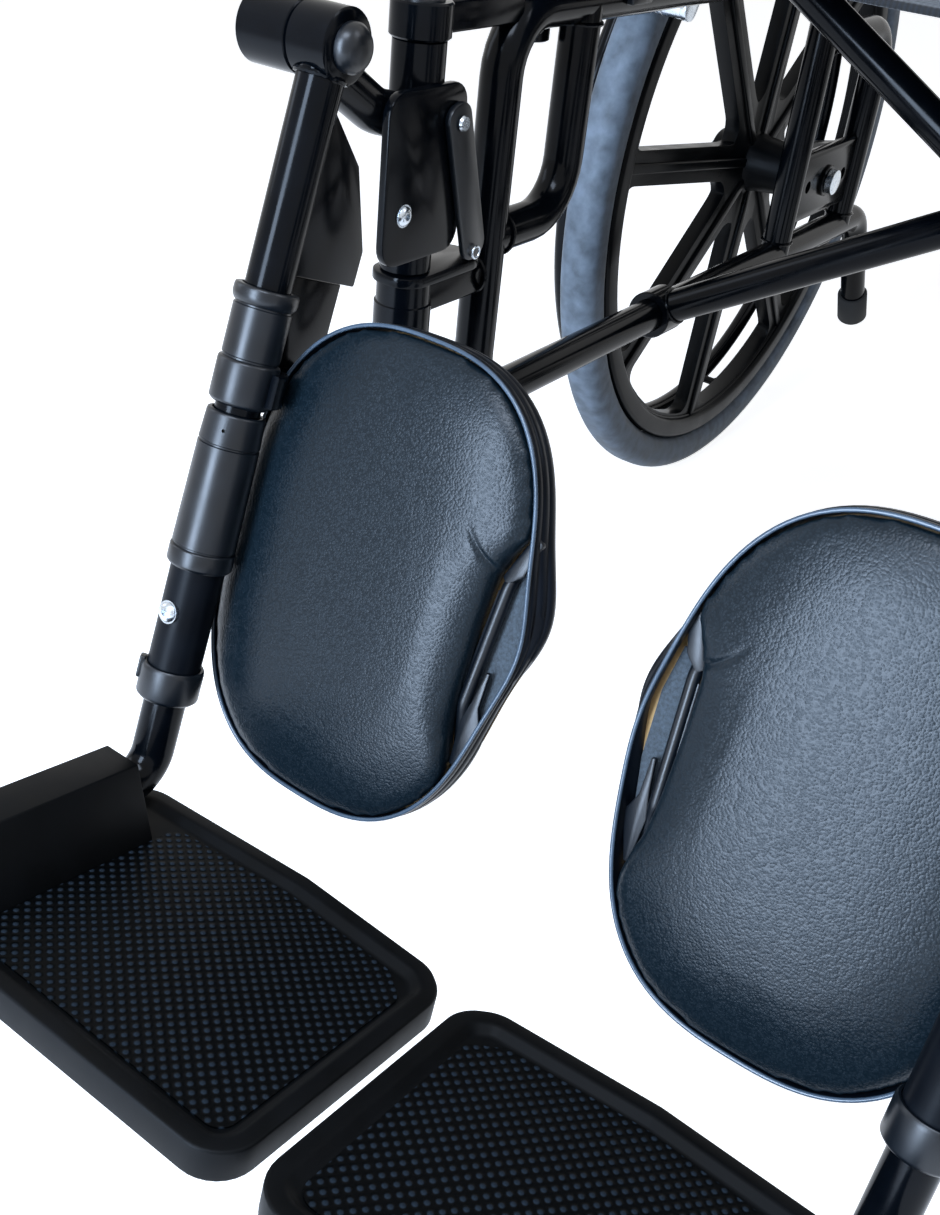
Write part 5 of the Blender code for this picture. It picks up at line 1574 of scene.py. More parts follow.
    def bracket(self) -> None:
        """The half ring behind the upper sleeve, its upright fin, and the flat bar along the board's back."""
        up = LEG.to_3x3() @ Vector((0, 0, 1))
        low, high, radius = 0.205, 0.221, 0.0198
        ring = turned(
            "ring", FOOT_PIVOT, up,
            [
                (low, radius - 0.0006), (low + 0.0006, radius), (high - 0.0006, radius),
                (high, radius - 0.0006),
            ],
            48,
        )
        bore = turned("bore", FOOT_PIVOT, up, [(low - 0.01, 0.0153), (high + 0.01, 0.0153)], 48)
        front = block("front", (-0.05, -0.05, low - 0.01), (0.05, 0, high + 0.01), 0, LEG)
        cut_away(ring, bore, front)
        neck = block("neck", (-0.0198, 0.0158, low), (0.004, 0.0448, high), 0.0008, LEG)
        cut_away(neck, block("clear", (-0.06, 0, low - 0.01), (0.001, 0.0406, high + 0.01), 0, LEG))
        bar = block("bar", (-0.11, 0.0408, low), (0, 0.0448, high), 0.0008, LEG)
        fin = slab_of(
            "fin",
            [(0.0172, 0.2072), (0.0427, 0.2072), (0.0549, 0.2402), (0.0549, 0.2656), (0.0172, 0.2656)],
            LEG @ across_plane(0.004), 0.0048, 0.0007,
        )
        back = LEG.to_3x3() @ Vector((0, 1, 0))
        bolts = [
            button_bolt(f"screw_{k}", LEG @ Vector((x, 0.0448, 0.213)), back, 0.0042)
            for k, x in enumerate((-0.04, -0.095))
        ]
        for piece in (ring, neck, bar, fin):
            painted(piece, Finishes.ENAMEL)
        bracket = merged("bracket", ring, neck, bar, fin, *bolts)
        fit_pair(bracket, "pad_bracket", "calf_rest")


@dataclass
class Hanger:
    """The swing-away hanger: pivot tube, side plate, arm to the knee, release tongue and catch plate."""

    tube_radius: float = 0.0145
    low: float = 0.3583
    high: float = 0.4797
    plate: float = 0.005
    arm_radius: float = 0.0115

    def build(self) -> None:
        """Builds and fits the hanger's pieces."""
        self.body()
        self.tongue()
        self.pin()

    def body(self) -> None:
        """The pivot tube, plate, arm, knee eye and stud."""
        x, y = SIDE_X, HINGE_Y
        r = self.tube_radius
        tube = turned(
            "pivot", (x, y, 0), (0, 0, 1),
            [
                (self.low, r - 0.0008), (self.low + 0.0008, r), (self.high - 0.0008, r),
                (self.high, r - 0.0008),
            ],
            44,
        )
        plate_x = x - r - self.plate / 2 + 0.002
        side = across_plane(plate_x)
        plate = panel("side_plate", (-0.328, 0.37), (-0.262, 0.46), self.plate, 0.012, side, 0.001)
        face = plate_x - self.plate / 2
        bolt = button_bolt("plate_bolt", (face, -0.312, 0.397), (-1, 0, 0), 0.0052)
        stud = painted(
            turned(
                "stud", (face, -0.272, 0.44), (-1, 0, 0),
                [(-0.002, 0.0028), (0.0056, 0.0028), (0.0056, 0.0042), (0.007, 0.0036)], 24,
            ),
            Finishes.ZINC,
        )
        arm = bent_tube(
            "arm", [(x, y - 0.005, 0.44), (x, y - 0.035, 0.448), (x - 0.003, KNEE.y, KNEE.z)],
            self.arm_radius, 0.04, 36,
        )
        eye_start, head_start = 0.2 + 0.0235 / 2 + 0.0003, 0.2 - 0.0235 / 2 - 0.0003
        eye = turned(
            "knee_eye", (0, KNEE.y, KNEE.z), (1, 0, 0),
            [(eye_start, 0.0152), (eye_start + 0.001, 0.0165), (x + 0.011, 0.0165), (x + 0.012, 0.0152)], 44,
        )
        stud_head = painted(
            turned(
                "knee_head", (0, KNEE.y, KNEE.z), (-1, 0, 0),
                [
                    (-head_start - 0.03, 0.0058), (-head_start, 0.0058), (-head_start, 0.011),
                    (-head_start + 0.003, 0.011), (-head_start + 0.0062, 0.0088),
                    (-head_start + 0.008, 0.0055),
                ],
                36,
            ),
            Finishes.PLASTIC,
        )
        beads = [weld("bead_low", (x, y - 0.0145, 0.4425), (0, -0.97, 0.26), self.arm_radius)]
        for piece in (tube, plate, arm, eye):
            painted(piece, Finishes.ENAMEL)
        hanger = merged("hanger", tube, plate, arm, eye, bolt, stud, stud_head, *beads)
        fit_pair(hanger, "hanger", "hanger")

    def tongue(self) -> None:
        """The release tongue, with the ring of its cord at its end."""
        pivot, end = Vector((-0.272, 0.44)), Vector((-0.247, 0.362))
        length = (end - pivot).length
        angle = math.atan2(end.y - pivot.y, end.x - pivot.x)
        face = SIDE_X - self.tube_radius - self.plate + 0.002
        side = across_plane(face - 0.0023, pivot.x, pivot.y)
        place = side @ Matrix.Rotation(angle, 4, "Z")
        tongue = painted(
            panel("tongue", (-0.01, -0.01), (length, 0.01), 0.004, 0.0084, place, 0.001), Finishes.PLASTIC,
        )
        bpy.ops.object.select_all(action="DESELECT")
        bpy.ops.mesh.primitive_torus_add(
            major_segments=28, minor_segments=8, major_radius=0.0034, minor_radius=0.0007,
            location=(face - 0.006, end.x - 0.003, end.y + 0.004), rotation=(0, math.pi / 2, 0),
        )
        ring = painted(named("cord_ring"), Finishes.ZINC)
        fit_pair(merged("tongue", tongue, ring), "release_lever", "release")

    def pin(self) -> None:
        """The hinge pin and the catch plate under the hanger."""
        x, y = SIDE_X, HINGE_Y
        pin = turned(
            "pin", (x, y, 0), (0, 0, 1),
            [(0.3398, 0.0066), (0.3404, 0.007), (0.4913, 0.007), (0.4917, 0.0066)], 28,
        )
        place = Matrix.Translation((0, 0, 0.3548))
        catch = panel("catch", (x - 0.017, y - 0.017), (x + 0.017, y + 0.058), 0.006, 0.0143, place, 0.001)
        pieces = [painted(pin, Finishes.ZINC), painted(catch, Finishes.ENAMEL)]
        fit_pair(merged("pin", *pieces), "hanger_pin", "hanger_mount")


# ---------------------------------------------------------------- the side frames


@dataclass
class SideFrame:
    """One welded side frame. Its tubes run in the plane x = SIDE_X, given as (y, z) points."""

    radius: float = 0.0125
    bend: float = 0.035
    front_y: float = -0.207
    post_y: float = 0.262
    upright_y: float = 0.405
    tip: tuple[float, float] = (0.528, 0.128)
    handle_z: float = 0.915
    stay_z: float = 0.361
    stay_y: float = -0.128
    upright_z: float = 0.43
    barrel_radius: float = 0.0165
    saddle_y: tuple[float, float] = (-0.085, 0.17)
    socket_y: tuple[float, float] = (-0.145, 0.222)
    arm_x: float = 0.256

    def build(self) -> None:
        """Builds and fits both side frames with what is welded and screwed to them."""
        tubes = [painted(tube, Finishes.ENAMEL) for tube in self.tubes()]
        parts = [
            *tubes, *self.beads(), *self.caster_mount(), *self.axle_mount(), *self.saddles(),
            *self.sockets(),
        ]
        frame_piece = merged("side_frame", *parts, *self.brake_mount(), self.tipping_end())
        fit_pair(frame_piece, "side_frame", "frame")

    def tubes(self) -> list[Piece]:
        """The frame's bent tubes: the long loop, the back post, the rear upright and the front stay.

        Returns:
            The tubes.
        """
        z, low = UPPER_RAIL_Z, LOWER_RAIL_Z
        loop = [(self.post_y, z), (self.front_y, z), (self.front_y, low), (0.455, low), self.tip]
        post = [(self.post_y, low), (self.post_y, self.handle_z), (0.397, self.handle_z)]
        upright = [(self.upright_y, low), (self.upright_y, self.upright_z), (self.post_y, self.upright_z)]
        stay = [(self.front_y, self.stay_z), (self.stay_y, self.stay_z), (self.stay_y, z)]
        paths = {"loop": loop, "post": post, "upright": upright, "stay": stay}
        return [
            bent_tube(name, [(SIDE_X, *point) for point in path], self.radius, self.bend, 32, 8)
            for name, path in paths.items()
        ]

    def beads(self) -> list[Piece]:
        """The weld beads where one tube meets another.

        Returns:
            The weld beads.
        """
        off, z, low = self.radius - 0.0006, UPPER_RAIL_Z, LOWER_RAIL_Z
        up, rear = (0, 0, 1), (0, 1, 0)
        places = [
            ((self.post_y, low + off), up), ((self.upright_y, low + off), up),
            ((self.post_y - off, z), rear), ((self.post_y + off, self.upright_z), rear),
            ((self.front_y + off, self.stay_z), rear), ((self.stay_y, z - off), up),
        ]
        return [weld(f"bead_{k}", (SIDE_X, *at), way, self.radius) for k, (at, way) in enumerate(places)]

    def caster_mount(self) -> list[Piece]:
        """The caster barrel and its gusset, and the upper bracket of the hanger pin.

        Returns:
            Its pieces.
        """
        x, y, r = SIDE_X, HINGE_Y, self.barrel_radius
        barrel = turned(
            "barrel", (x, y, 0), (0, 0, 1),
            [(0.232, r - 0.001), (0.2328, r), (0.339, r), (0.3397, r - 0.001), (0.3515, r - 0.001)], 44,
        )
        gusset = block("gusset", (x - 0.007, -0.288, 0.33), (x + 0.007, -0.204, 0.3505), 0.0016)
        upper = turned(
            "upper_rod", (x, y, 0), (0, 0, 1),
            [(0.48, r - 0.001), (0.481, r), (0.497, r), (0.498, r - 0.001)], 44,
        )
        arm = block("upper_arm", (x - 0.007, -0.288, 0.481), (x + 0.007, -0.2, 0.497), 0.0016)
        cap = turned(
            "cap", (x, y, 0.498), (0, 0, 1),
            [(-0.001, 0.012), (0.001, 0.0118), (0.0022, 0.0095), (0.0026, 0.005)], 32,
        )
        for piece in (barrel, gusset, upper, arm):
            painted(piece, Finishes.ENAMEL)
        beads = [weld("gusset_weld", (x, self.front_y - self.radius, 0.3403), (0, 1, 0), 0.01, 0.0016)]
        return [barrel, gusset, upper, arm, painted(cap, Finishes.PLASTIC), *beads]

    def axle_mount(self) -> list[Piece]:
        """The axle plate with its two spare holes, and the sleeve that the axle runs in.

        Returns:
            Its pieces.
        """
        side = across_plane(SIDE_X)
        plate = panel("axle_plate", (0.259, 0.275), (0.408, 0.335), 0.01, 0.01, side, 0.001, 5)
        holes = [
            turned(f"hole_{k}", (SIDE_X - 0.02, y, 0.305), (1, 0, 0), [(0, 0.0055), (0.04, 0.0055)], 24)
            for k, y in enumerate((0.295, 0.375))
        ]
        cut_away(plate, *holes)
        sleeve = turned(
            "axle_sleeve", (0, AXLE.y, AXLE.z), (1, 0, 0),
            [(0.222, 0.0132), (0.2228, 0.014), (0.2512, 0.014), (0.252, 0.0132)], 40,
        )
        bead = weld("axle_weld", (SIDE_X + 0.005, AXLE.y, AXLE.z), (1, 0, 0), 0.014, 0.0016)
        return [painted(plate, Finishes.ENAMEL), painted(sleeve, Finishes.ENAMEL), bead]

    def saddles(self) -> list[Piece]:
        """The plastic saddles on the upper rail that the seat rail drops into, each held by a screw.

        Returns:
            The saddles.
        """
        found = []
        for k, y in enumerate(self.saddle_y):
            saddle = block(
                f"saddle_{k}", (SIDE_X - 0.0172, y - 0.012, 0.484), (SIDE_X + 0.0172, y + 0.012, 0.525),
                0.0016,
            )
            trough = turned(
                f"trough_{k}", (SIDE_X, y - 0.03, SEAT_RAIL_Z), (0, 1, 0), [(0, 0.0121), (0.06, 0.0121)], 32,
            )
            mouth = block(
                f"mouth_{k}", (SIDE_X - 0.0121, y - 0.03, SEAT_RAIL_Z), (SIDE_X + 0.0121, y + 0.03, 0.56),
            )
            cut_away(saddle, trough, mouth)
            screw = button_bolt(f"saddle_screw_{k}", (SIDE_X + 0.017, y, 0.4935), (1, 0, 0), 0.0028)
            found += [painted(saddle, Finishes.PLASTIC), screw]
        return found

    def sockets(self) -> list[Piece]:
        """The arm sockets: a short steel cup beside the upper rail, on a web.

        Returns:
            The sockets.
        """
        found = []
        for k, y in enumerate(self.socket_y):
            cup = turned(
                f"cup_{k}", (self.arm_x, y, 0), (0, 0, 1),
                [
                    (0.4625, 0.0126), (0.4632, 0.0135), (0.5078, 0.0135), (0.5085, 0.0128), (0.5085, 0.0103),
                    (0.466, 0.0103),
                ],
                36,
            )
            web = block(
                f"web_{k}", (SIDE_X + 0.003, y - 0.008, 0.477), (self.arm_x - 0.003, y + 0.008, 0.497),
                0.001,
            )
            bead = weld(f"cup_weld_{k}", (SIDE_X + 0.0125, y, 0.487), (1, 0, 0), 0.0085, 0.0014)
            found += [painted(cup, Finishes.ENAMEL), painted(web, Finishes.ENAMEL), bead]
        return found

    def brake_mount(self) -> list[Piece]:
        """The brake plate outside the upper rail, its clamp block and its two studs.

        Returns:
            Its pieces.
        """
        side = across_plane(0.2454)
        plate = panel("brake_plate", (-0.004, 0.4742), (0.0955, 0.5205), 0.0062, 0.008, side, 0.001, 5)
        clamp = block("brake_clamp", (0.233, 0.01, 0.478), (0.2475, 0.08, 0.496), 0.0012)
        shoe = turned(
            "shoe_stud", (0, 0.0795, 0.5045), (1, 0, 0),
            [(0.247, 0.004), (0.2566, 0.004), (0.2566, 0.0064), (0.258, 0.0064), (0.2588, 0.005)], 28,
        )
        handle = turned(
            "handle_stud", (0, 0.012, 0.4925), (1, 0, 0),
            [(0.247, 0.004), (0.2721, 0.004), (0.2721, 0.0062), (0.2734, 0.0062), (0.2743, 0.0048)], 28,
        )
        return [
            painted(plate, Finishes.ZINC), painted(clamp, Finishes.ENAMEL), painted(shoe, Finishes.ZINC),
            painted(handle, Finishes.ZINC),
        ]

    def tipping_end(self) -> Piece:
        """The rubber tip on the tipping lever.

        Returns:
            The tip.
        """
        start, end = Vector((SIDE_X, 0.455, LOWER_RAIL_Z)), Vector((SIDE_X, *self.tip))
        way = (end - start).normalized()
        tip = turned(
            "tip", end, way,
            [(-0.03, 0.0146), (-0.0285, 0.0155), (0.0035, 0.0155), (0.0052, 0.0142), (0.006, 0.011)], 36,
        )
        return painted(tip, Finishes.RUBBER)


@dataclass
class PushGrip:
    """The push grip: a rubber sleeve with finger ribs and a flanged mouth."""

    radius: float = 0.017
    start: float = 0.303
    end: float = 0.4013
    ribs: int = 9

    def build(self) -> None:
        """Builds and fits both grips."""
        profile = [(self.start, 0.015), (self.start + 0.0006, 0.0168), (self.start + 0.004, self.radius)]
        first, last = self.start + 0.008, self.end - 0.012
        pitch = (last - first) / self.ribs
        for rib in range(self.ribs):
            y = first + pitch * rib
            profile += [
                (y, self.radius - 0.001), (y + pitch * 0.25, self.radius), (y + pitch * 0.7, self.radius),
            ]
        profile += [(last, self.radius - 0.001), (self.end - 0.004, self.radius - 0.0004)]
        profile += [(self.end - 0.0012, 0.015), (self.end, 0.0105)]
        grip = turned("grip", (SIDE_X, 0, 0.915), (0, 1, 0), profile)
        fit_pair(painted(grip, Finishes.RUBBER), "push_grip", "frame", 45)


@dataclass
class ArmRest:
    """The lift-out arm: a hoop of tube, a skirt sheet inside it and the pad on top."""

    x: float = 0.256
    radius: float = 0.0095
    bend: float = 0.03
    front: float = -0.145
    rear: float = 0.222
    low: float = 0.466
    high: float = 0.737
    pad_x: float = 0.269
    pad_front: float = -0.1115
    pad_rear: float = 0.1885
    pad_low: float = 0.7468
    pad_height: float = 0.026
    pad_width: float = 0.05
    pad_corner: float = 0.018

    def build(self) -> None:
        """Builds and fits both arms with their pads."""
        self.hoop()
        self.pad()

    def hoop(self) -> None:
        """The arm's hoop, the skirt sheet, its rod and lower rod, and the rivets."""
        path = [
            (self.front, self.low), (self.front, self.high), (self.rear, self.high), (self.rear, self.low),
        ]
        arm = bent_tube("arm_hoop", [(self.x, *point) for point in path], self.radius, self.bend, 28, 8)
        skirt = block(
            "skirt", (self.x - 0.0015, self.front, 0.54), (self.x + 0.0015, self.rear, 0.715), 0.0005,
        )
        with editing(skirt):
            pick(skirt, Pick.FACES, lambda at, normal: abs(normal.x) > 0.999)
            bpy.ops.mesh.inset(thickness=0.018, depth=0, use_individual=True)
            bpy.ops.mesh.inset(thickness=0.003, depth=-0.0006, use_individual=True)
        rod = turned(
            "skirt_rod", (self.x, 0, 0.715), (0, 1, 0), [(self.front, 0.004), (self.rear, 0.004)], 20,
        )
        low_rod = turned(
            "skirt_low", (self.x, 0, 0.54), (0, 1, 0), [(self.front, 0.0022), (self.rear, 0.0022)], 16,
        )
        places = [(y, z) for y in (self.front + 0.02, 0.0385, self.rear - 0.02) for z in (0.552, 0.702)]
        rivets = [
            button_bolt(f"rivet_{k}", (self.x + 0.0006, *place), (1, 0, 0), 0.0024)
            for k, place in enumerate(places)
        ]
        for piece in (arm, rod, low_rod):
            painted(piece, Finishes.ENAMEL)
        painted(skirt, Finishes.PLASTIC)
        frame_piece = merged("arm", arm, skirt, rod, low_rod, *rivets)
        fit_pair(frame_piece, "arm_frame", "frame")

    def pad(self) -> None:
        """The arm pad: a padded top with a rounded edge, on a hard base."""
        middle = (self.pad_front + self.pad_rear) / 2
        half_long, half_wide = (self.pad_rear - self.pad_front) / 2, self.pad_width / 2
        place = Matrix.Translation((self.pad_x, middle, self.pad_low + self.pad_height / 2))
        pad = panel(
            "arm_pad", (-half_wide + 0.0012, -half_long + 0.0012), (half_wide - 0.0012, half_long - 0.0012),
            self.pad_height - 0.003, self.pad_corner, Matrix.Identity(4), 0.0, 8,
        )
        shape_by(pad, "BEVEL", width=0.0085, segments=5, limit_method="ANGLE", angle_limit=math.radians(60))
        swollen(pad, 0.004, -0.0085, 3.0, 0.0022)
        moved(pad, place)
        painted(pad, Finishes.LEATHER)
        for piece in fit_pair(pad, "arm_pad", "frame", 180):
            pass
        base = panel(
            "pad_base", (-half_wide + 0.004, -half_long + 0.004), (half_wide - 0.004, half_long - 0.004),
            0.003, self.pad_corner - 0.004, Matrix.Translation((self.pad_x, middle, self.pad_low + 0.0012)),
        )
        fit_pair(painted(base, Finishes.PLASTIC), "pad_base", "frame", replaces=False)


def swollen(
    piece: Piece, voxel: float, held_below: float, pressure: float, cap: float, levels: int = 1,
) -> Piece:
    """Remeshes a stuffed piece, swells it as cloth under pressure, and caps how far each point moves.

    Args:
        piece: a closed piece in its own frame, z up out of its base.
        voxel: the size of the remesh.
        held_below: points lower than this are held.
        pressure: the pressure inside.
        cap: the furthest that a point may move.
        levels: how often it is subdivided at the end.
    """
    shape_by(piece, "REMESH", mode="VOXEL", voxel_size=voxel, use_smooth_shade=True)
    shape_by(piece, "SMOOTH", factor=0.5, iterations=2)
    rest = [vert.co.copy() for vert in piece.data.vertices]
    group = piece.vertex_groups.new(name="held")
    group.add([vert.index for vert in piece.data.vertices if vert.co.z < held_below], 1.0, "REPLACE")
    cloth = piece.modifiers.new("Cloth", "CLOTH")
    settings = cloth.settings
    settings.quality = 5
    settings.mass = 0.3
    settings.use_pressure = True
    settings.uniform_pressure_force = pressure
    settings.tension_stiffness = 18
    settings.compression_stiffness = 12
    settings.shear_stiffness = 8
    settings.bending_stiffness = 1.2
    settings.vertex_group_mass = "held"
    settings.effector_weights.gravity = 0
    scene = bpy.context.scene
    for number in range(1, CLOTH_FRAMES + 1):
        scene.frame_set(number)
    take(piece)
    bpy.ops.object.modifier_apply(modifier="Cloth")
    scene.frame_set(1)
    offsets = [vert.co - start for vert, start in zip(piece.data.vertices, rest)]
    offsets = [way * (cap * math.tanh(way.length / cap) / max(way.length, 1e-9)) for way in offsets]
    joins = [edge.vertices[:] for edge in piece.data.edges]
    for _ in range(SMOOTHING_ROUNDS):
        sums, counts = [way.copy() for way in offsets], [1] * len(offsets)
        for first, second in joins:
            sums[first] += offsets[second]
            sums[second] += offsets[first]
            counts[first] += 1
            counts[second] += 1
        offsets = [total / count for total, count in zip(sums, counts)]
    for vert, start, way in zip(piece.data.vertices, rest, offsets):
        vert.co = start + way
    return shape_by(piece, "SUBSURF", levels=levels, render_levels=levels)


# ---------------------------------------------------------------- the wheels


@dataclass
class RearWheel:
    """The rear wheel: a one-piece moulding with eight spokes, a solid tyre, a handrim and the axle."""

    spokes: int = 8
    first_window: float = math.radians(15)
    hub_radius: float = 0.027
    web: float = 0.007
    rim_outer: float = 0.2717
    rim_inner: float = 0.2527
    rim_width: float = 0.028
    window_low: float = 0.06
    window_high: float = 0.2487
    root: float = 0.032
    tip: float = 0.028
    tyre_radius: float = 0.305
    tyre_depth: float = 0.033
    tyre_width: float = 0.033
    handrim_radius: float = 0.262
    handrim_tube: float = 0.008
    handrim_x: float = 0.34

    def build(self) -> None:
        """Builds and fits both rear wheels."""
        self.wheel()
        self.tyre()
        self.handrim()
        self.axle()

    def window(self) -> Piece:
        """A cutter for one window, narrowing to the hub, with rounded corners.

        Returns:
            The cutter.
        """
        half = math.pi / self.spokes
        points = []
        for radius, width in ((self.window_low, self.root), (self.window_high, self.tip)):
            turn = half - math.asin(width / 2 / radius)
            points.append((radius * math.cos(turn), radius * math.sin(turn)))
        (near_x, near_y), (far_x, far_y) = points
        bpy.ops.object.select_all(action="DESELECT")
        bpy.ops.mesh.primitive_plane_add(size=1, location=(0, 0, -0.05))
        cutter = named("window")
        with editing(cutter):
            mesh = bmesh.from_edit_mesh(cutter.data)
            for vert in mesh.verts:
                x, y = (far_x, far_y) if vert.co.x > 0 else (near_x, near_y)
                vert.co.x, vert.co.y = x, math.copysign(y, vert.co.y)
            bmesh.update_edit_mesh(cutter.data)
            pick(cutter, Pick.EDGES, lambda at, way: at.x > far_x - 1e-5 and abs(way.y) > 0.9)
            bpy.ops.mesh.subdivide(number_cuts=7)
            mesh = bmesh.from_edit_mesh(cutter.data)
            for vert in mesh.verts:
                if vert.co.x > far_x - 1e-5:
                    vert.co.x = math.sqrt(self.window_high**2 - vert.co.y**2)
            bmesh.update_edit_mesh(cutter.data)
            for x, y, radius in ((far_x, far_y, 0.014), (near_x, near_y, 0.012)):
                for side in (-1, 1):
                    pick(
                        cutter, Pick.VERTS, lambda at, _, p=(x, y * side): (at.xy - Vector(p)).length < 1e-5,
                    )
                    bpy.ops.mesh.bevel(affect="VERTICES", offset=radius, segments=5)
            bpy.ops.mesh.select_all(action="SELECT")
            extrude((0, 0, 0.1))
        return cutter

    def wheel(self) -> None:
        """The moulding: web disc with windows, a raised rib on each spoke, the rim and the hub."""
        x = AXLE.x
        turn = across_plane(*AXLE)
        disc_piece = turned(
            "web", (0, 0, 0), (0, 0, 1),
            [(-self.web, self.rim_inner + 0.004), (self.web, self.rim_inner + 0.004)], 128,
        )
        cutter = self.window()
        cutters = [cutter] + [
            copied(cutter, f"window_{k}", Matrix.Rotation(math.tau * k / self.spokes, 4, "Z"))
            for k in range(1, self.spokes)
        ]
        for cut in cutters:
            moved(cut, Matrix.Rotation(self.first_window, 4, "Z"))
        cut_away(disc_piece, *cutters)
        soften(disc_piece, 0.0022, 3, 50)
        moved(disc_piece, turn)
        rib = block(
            "rib", (0.024, -0.0042, -self.web - 0.0028), (self.rim_inner + 0.001, 0.0042, self.web + 0.0028),
            0.0016,
        )
        rib = moved(rib, Matrix.Rotation(self.first_window + math.pi / self.spokes, 4, "Z"))
        ribs = turned_copies(moved(rib, turn), self.spokes, AXLE, "X", "ribs")
        rim = hoop(
            "rim", AXLE, self.rim_outer, self.rim_width, self.rim_outer - self.rim_inner, 0.004, 128, 4,
        )
        ridge = hoop("ridge", AXLE, self.rim_inner + 0.006, self.rim_width - 0.01, 0.008, 0.0024, 128)
        hub = turned(
            "hub", (0, AXLE.y, AXLE.z), (1, 0, 0),
            [
                (0.262, self.hub_radius * 0.6), (0.262, self.hub_radius * 0.8),
                (0.2632, self.hub_radius * 0.85), (0.29, self.hub_radius * 0.93),
                (x - self.web - 0.001, self.hub_radius), (x - self.web + 0.001, 0.033),
                (x + self.web - 0.001, 0.033), (x + self.web + 0.001, self.hub_radius),
                (0.32, self.hub_radius * 0.93), (0.3348, self.hub_radius * 0.85),
                (0.336, self.hub_radius * 0.8), (0.336, self.hub_radius * 0.6),
            ],
            56,
        )
        for piece in (disc_piece, ribs, rim, ridge, hub):
            painted(piece, Finishes.WHEEL)
        wheel = merged("wheel", disc_piece, ribs, rim, ridge, hub)
        fit_pair(wheel, "rear_wheel", "wheel")

    def tyre(self) -> None:
        """The solid tyre, rounded to the ground."""
        tyre = hoop("tyre", AXLE, self.tyre_radius, self.tyre_width, self.tyre_depth, 0.0125, 160, 8)
        fit_pair(painted(tyre, Finishes.TYRE), "rear_tyre", "wheel", 50)

    def handrim(self) -> None:
        """The handrim and its six stand-offs, each with a screw."""
        bpy.ops.object.select_all(action="DESELECT")
        bpy.ops.mesh.primitive_torus_add(
            major_segments=144, minor_segments=24, major_radius=self.handrim_radius,
            minor_radius=self.handrim_tube, location=(self.handrim_x, AXLE.y, AXLE.z),
            rotation=(0, math.pi / 2, 0),
        )
        rim = named("handrim")
        angle = math.tau * 0.75 / 6
        at = (AXLE.y + self.handrim_radius * math.cos(angle), AXLE.z + self.handrim_radius * math.sin(angle))
        stand_off = turned(
            "stand_off", (0, *at), (1, 0, 0),
            [(0.3183, 0.0052), (0.32, 0.0052), (0.32, 0.004), (self.handrim_x - 0.004, 0.004)], 18,
        )
        stand_offs = turned_copies(stand_off, 6, AXLE, "X", "stand_offs")
        for piece in (rim, stand_offs):
            painted(piece, Finishes.ENAMEL)
        fit_pair(merged("handrim", rim, stand_offs), "handrim", "wheel")

    def axle(self) -> None:
        """The axle: head, shank, spacer and nut."""
        axle = turned(
            "axle", (0, AXLE.y, AXLE.z), (1, 0, 0),
            [
                (0.2147, 0.0095), (0.2153, 0.011), (0.2212, 0.011), (0.2217, 0.0104), (0.2217, 0.006),
                (0.2523, 0.006), (0.2523, 0.0105), (0.2529, 0.011), (0.2611, 0.011), (0.2617, 0.0105),
                (0.2617, 0.006), (0.3363, 0.006), (0.3363, 0.0108), (0.3425, 0.0108), (0.3433, 0.0098),
                (0.3433, 0.005), (0.34, 0.0048),
            ],
            36,
        )
        fit_pair(painted(axle, Finishes.ZINC), "rear_axle", "frame")


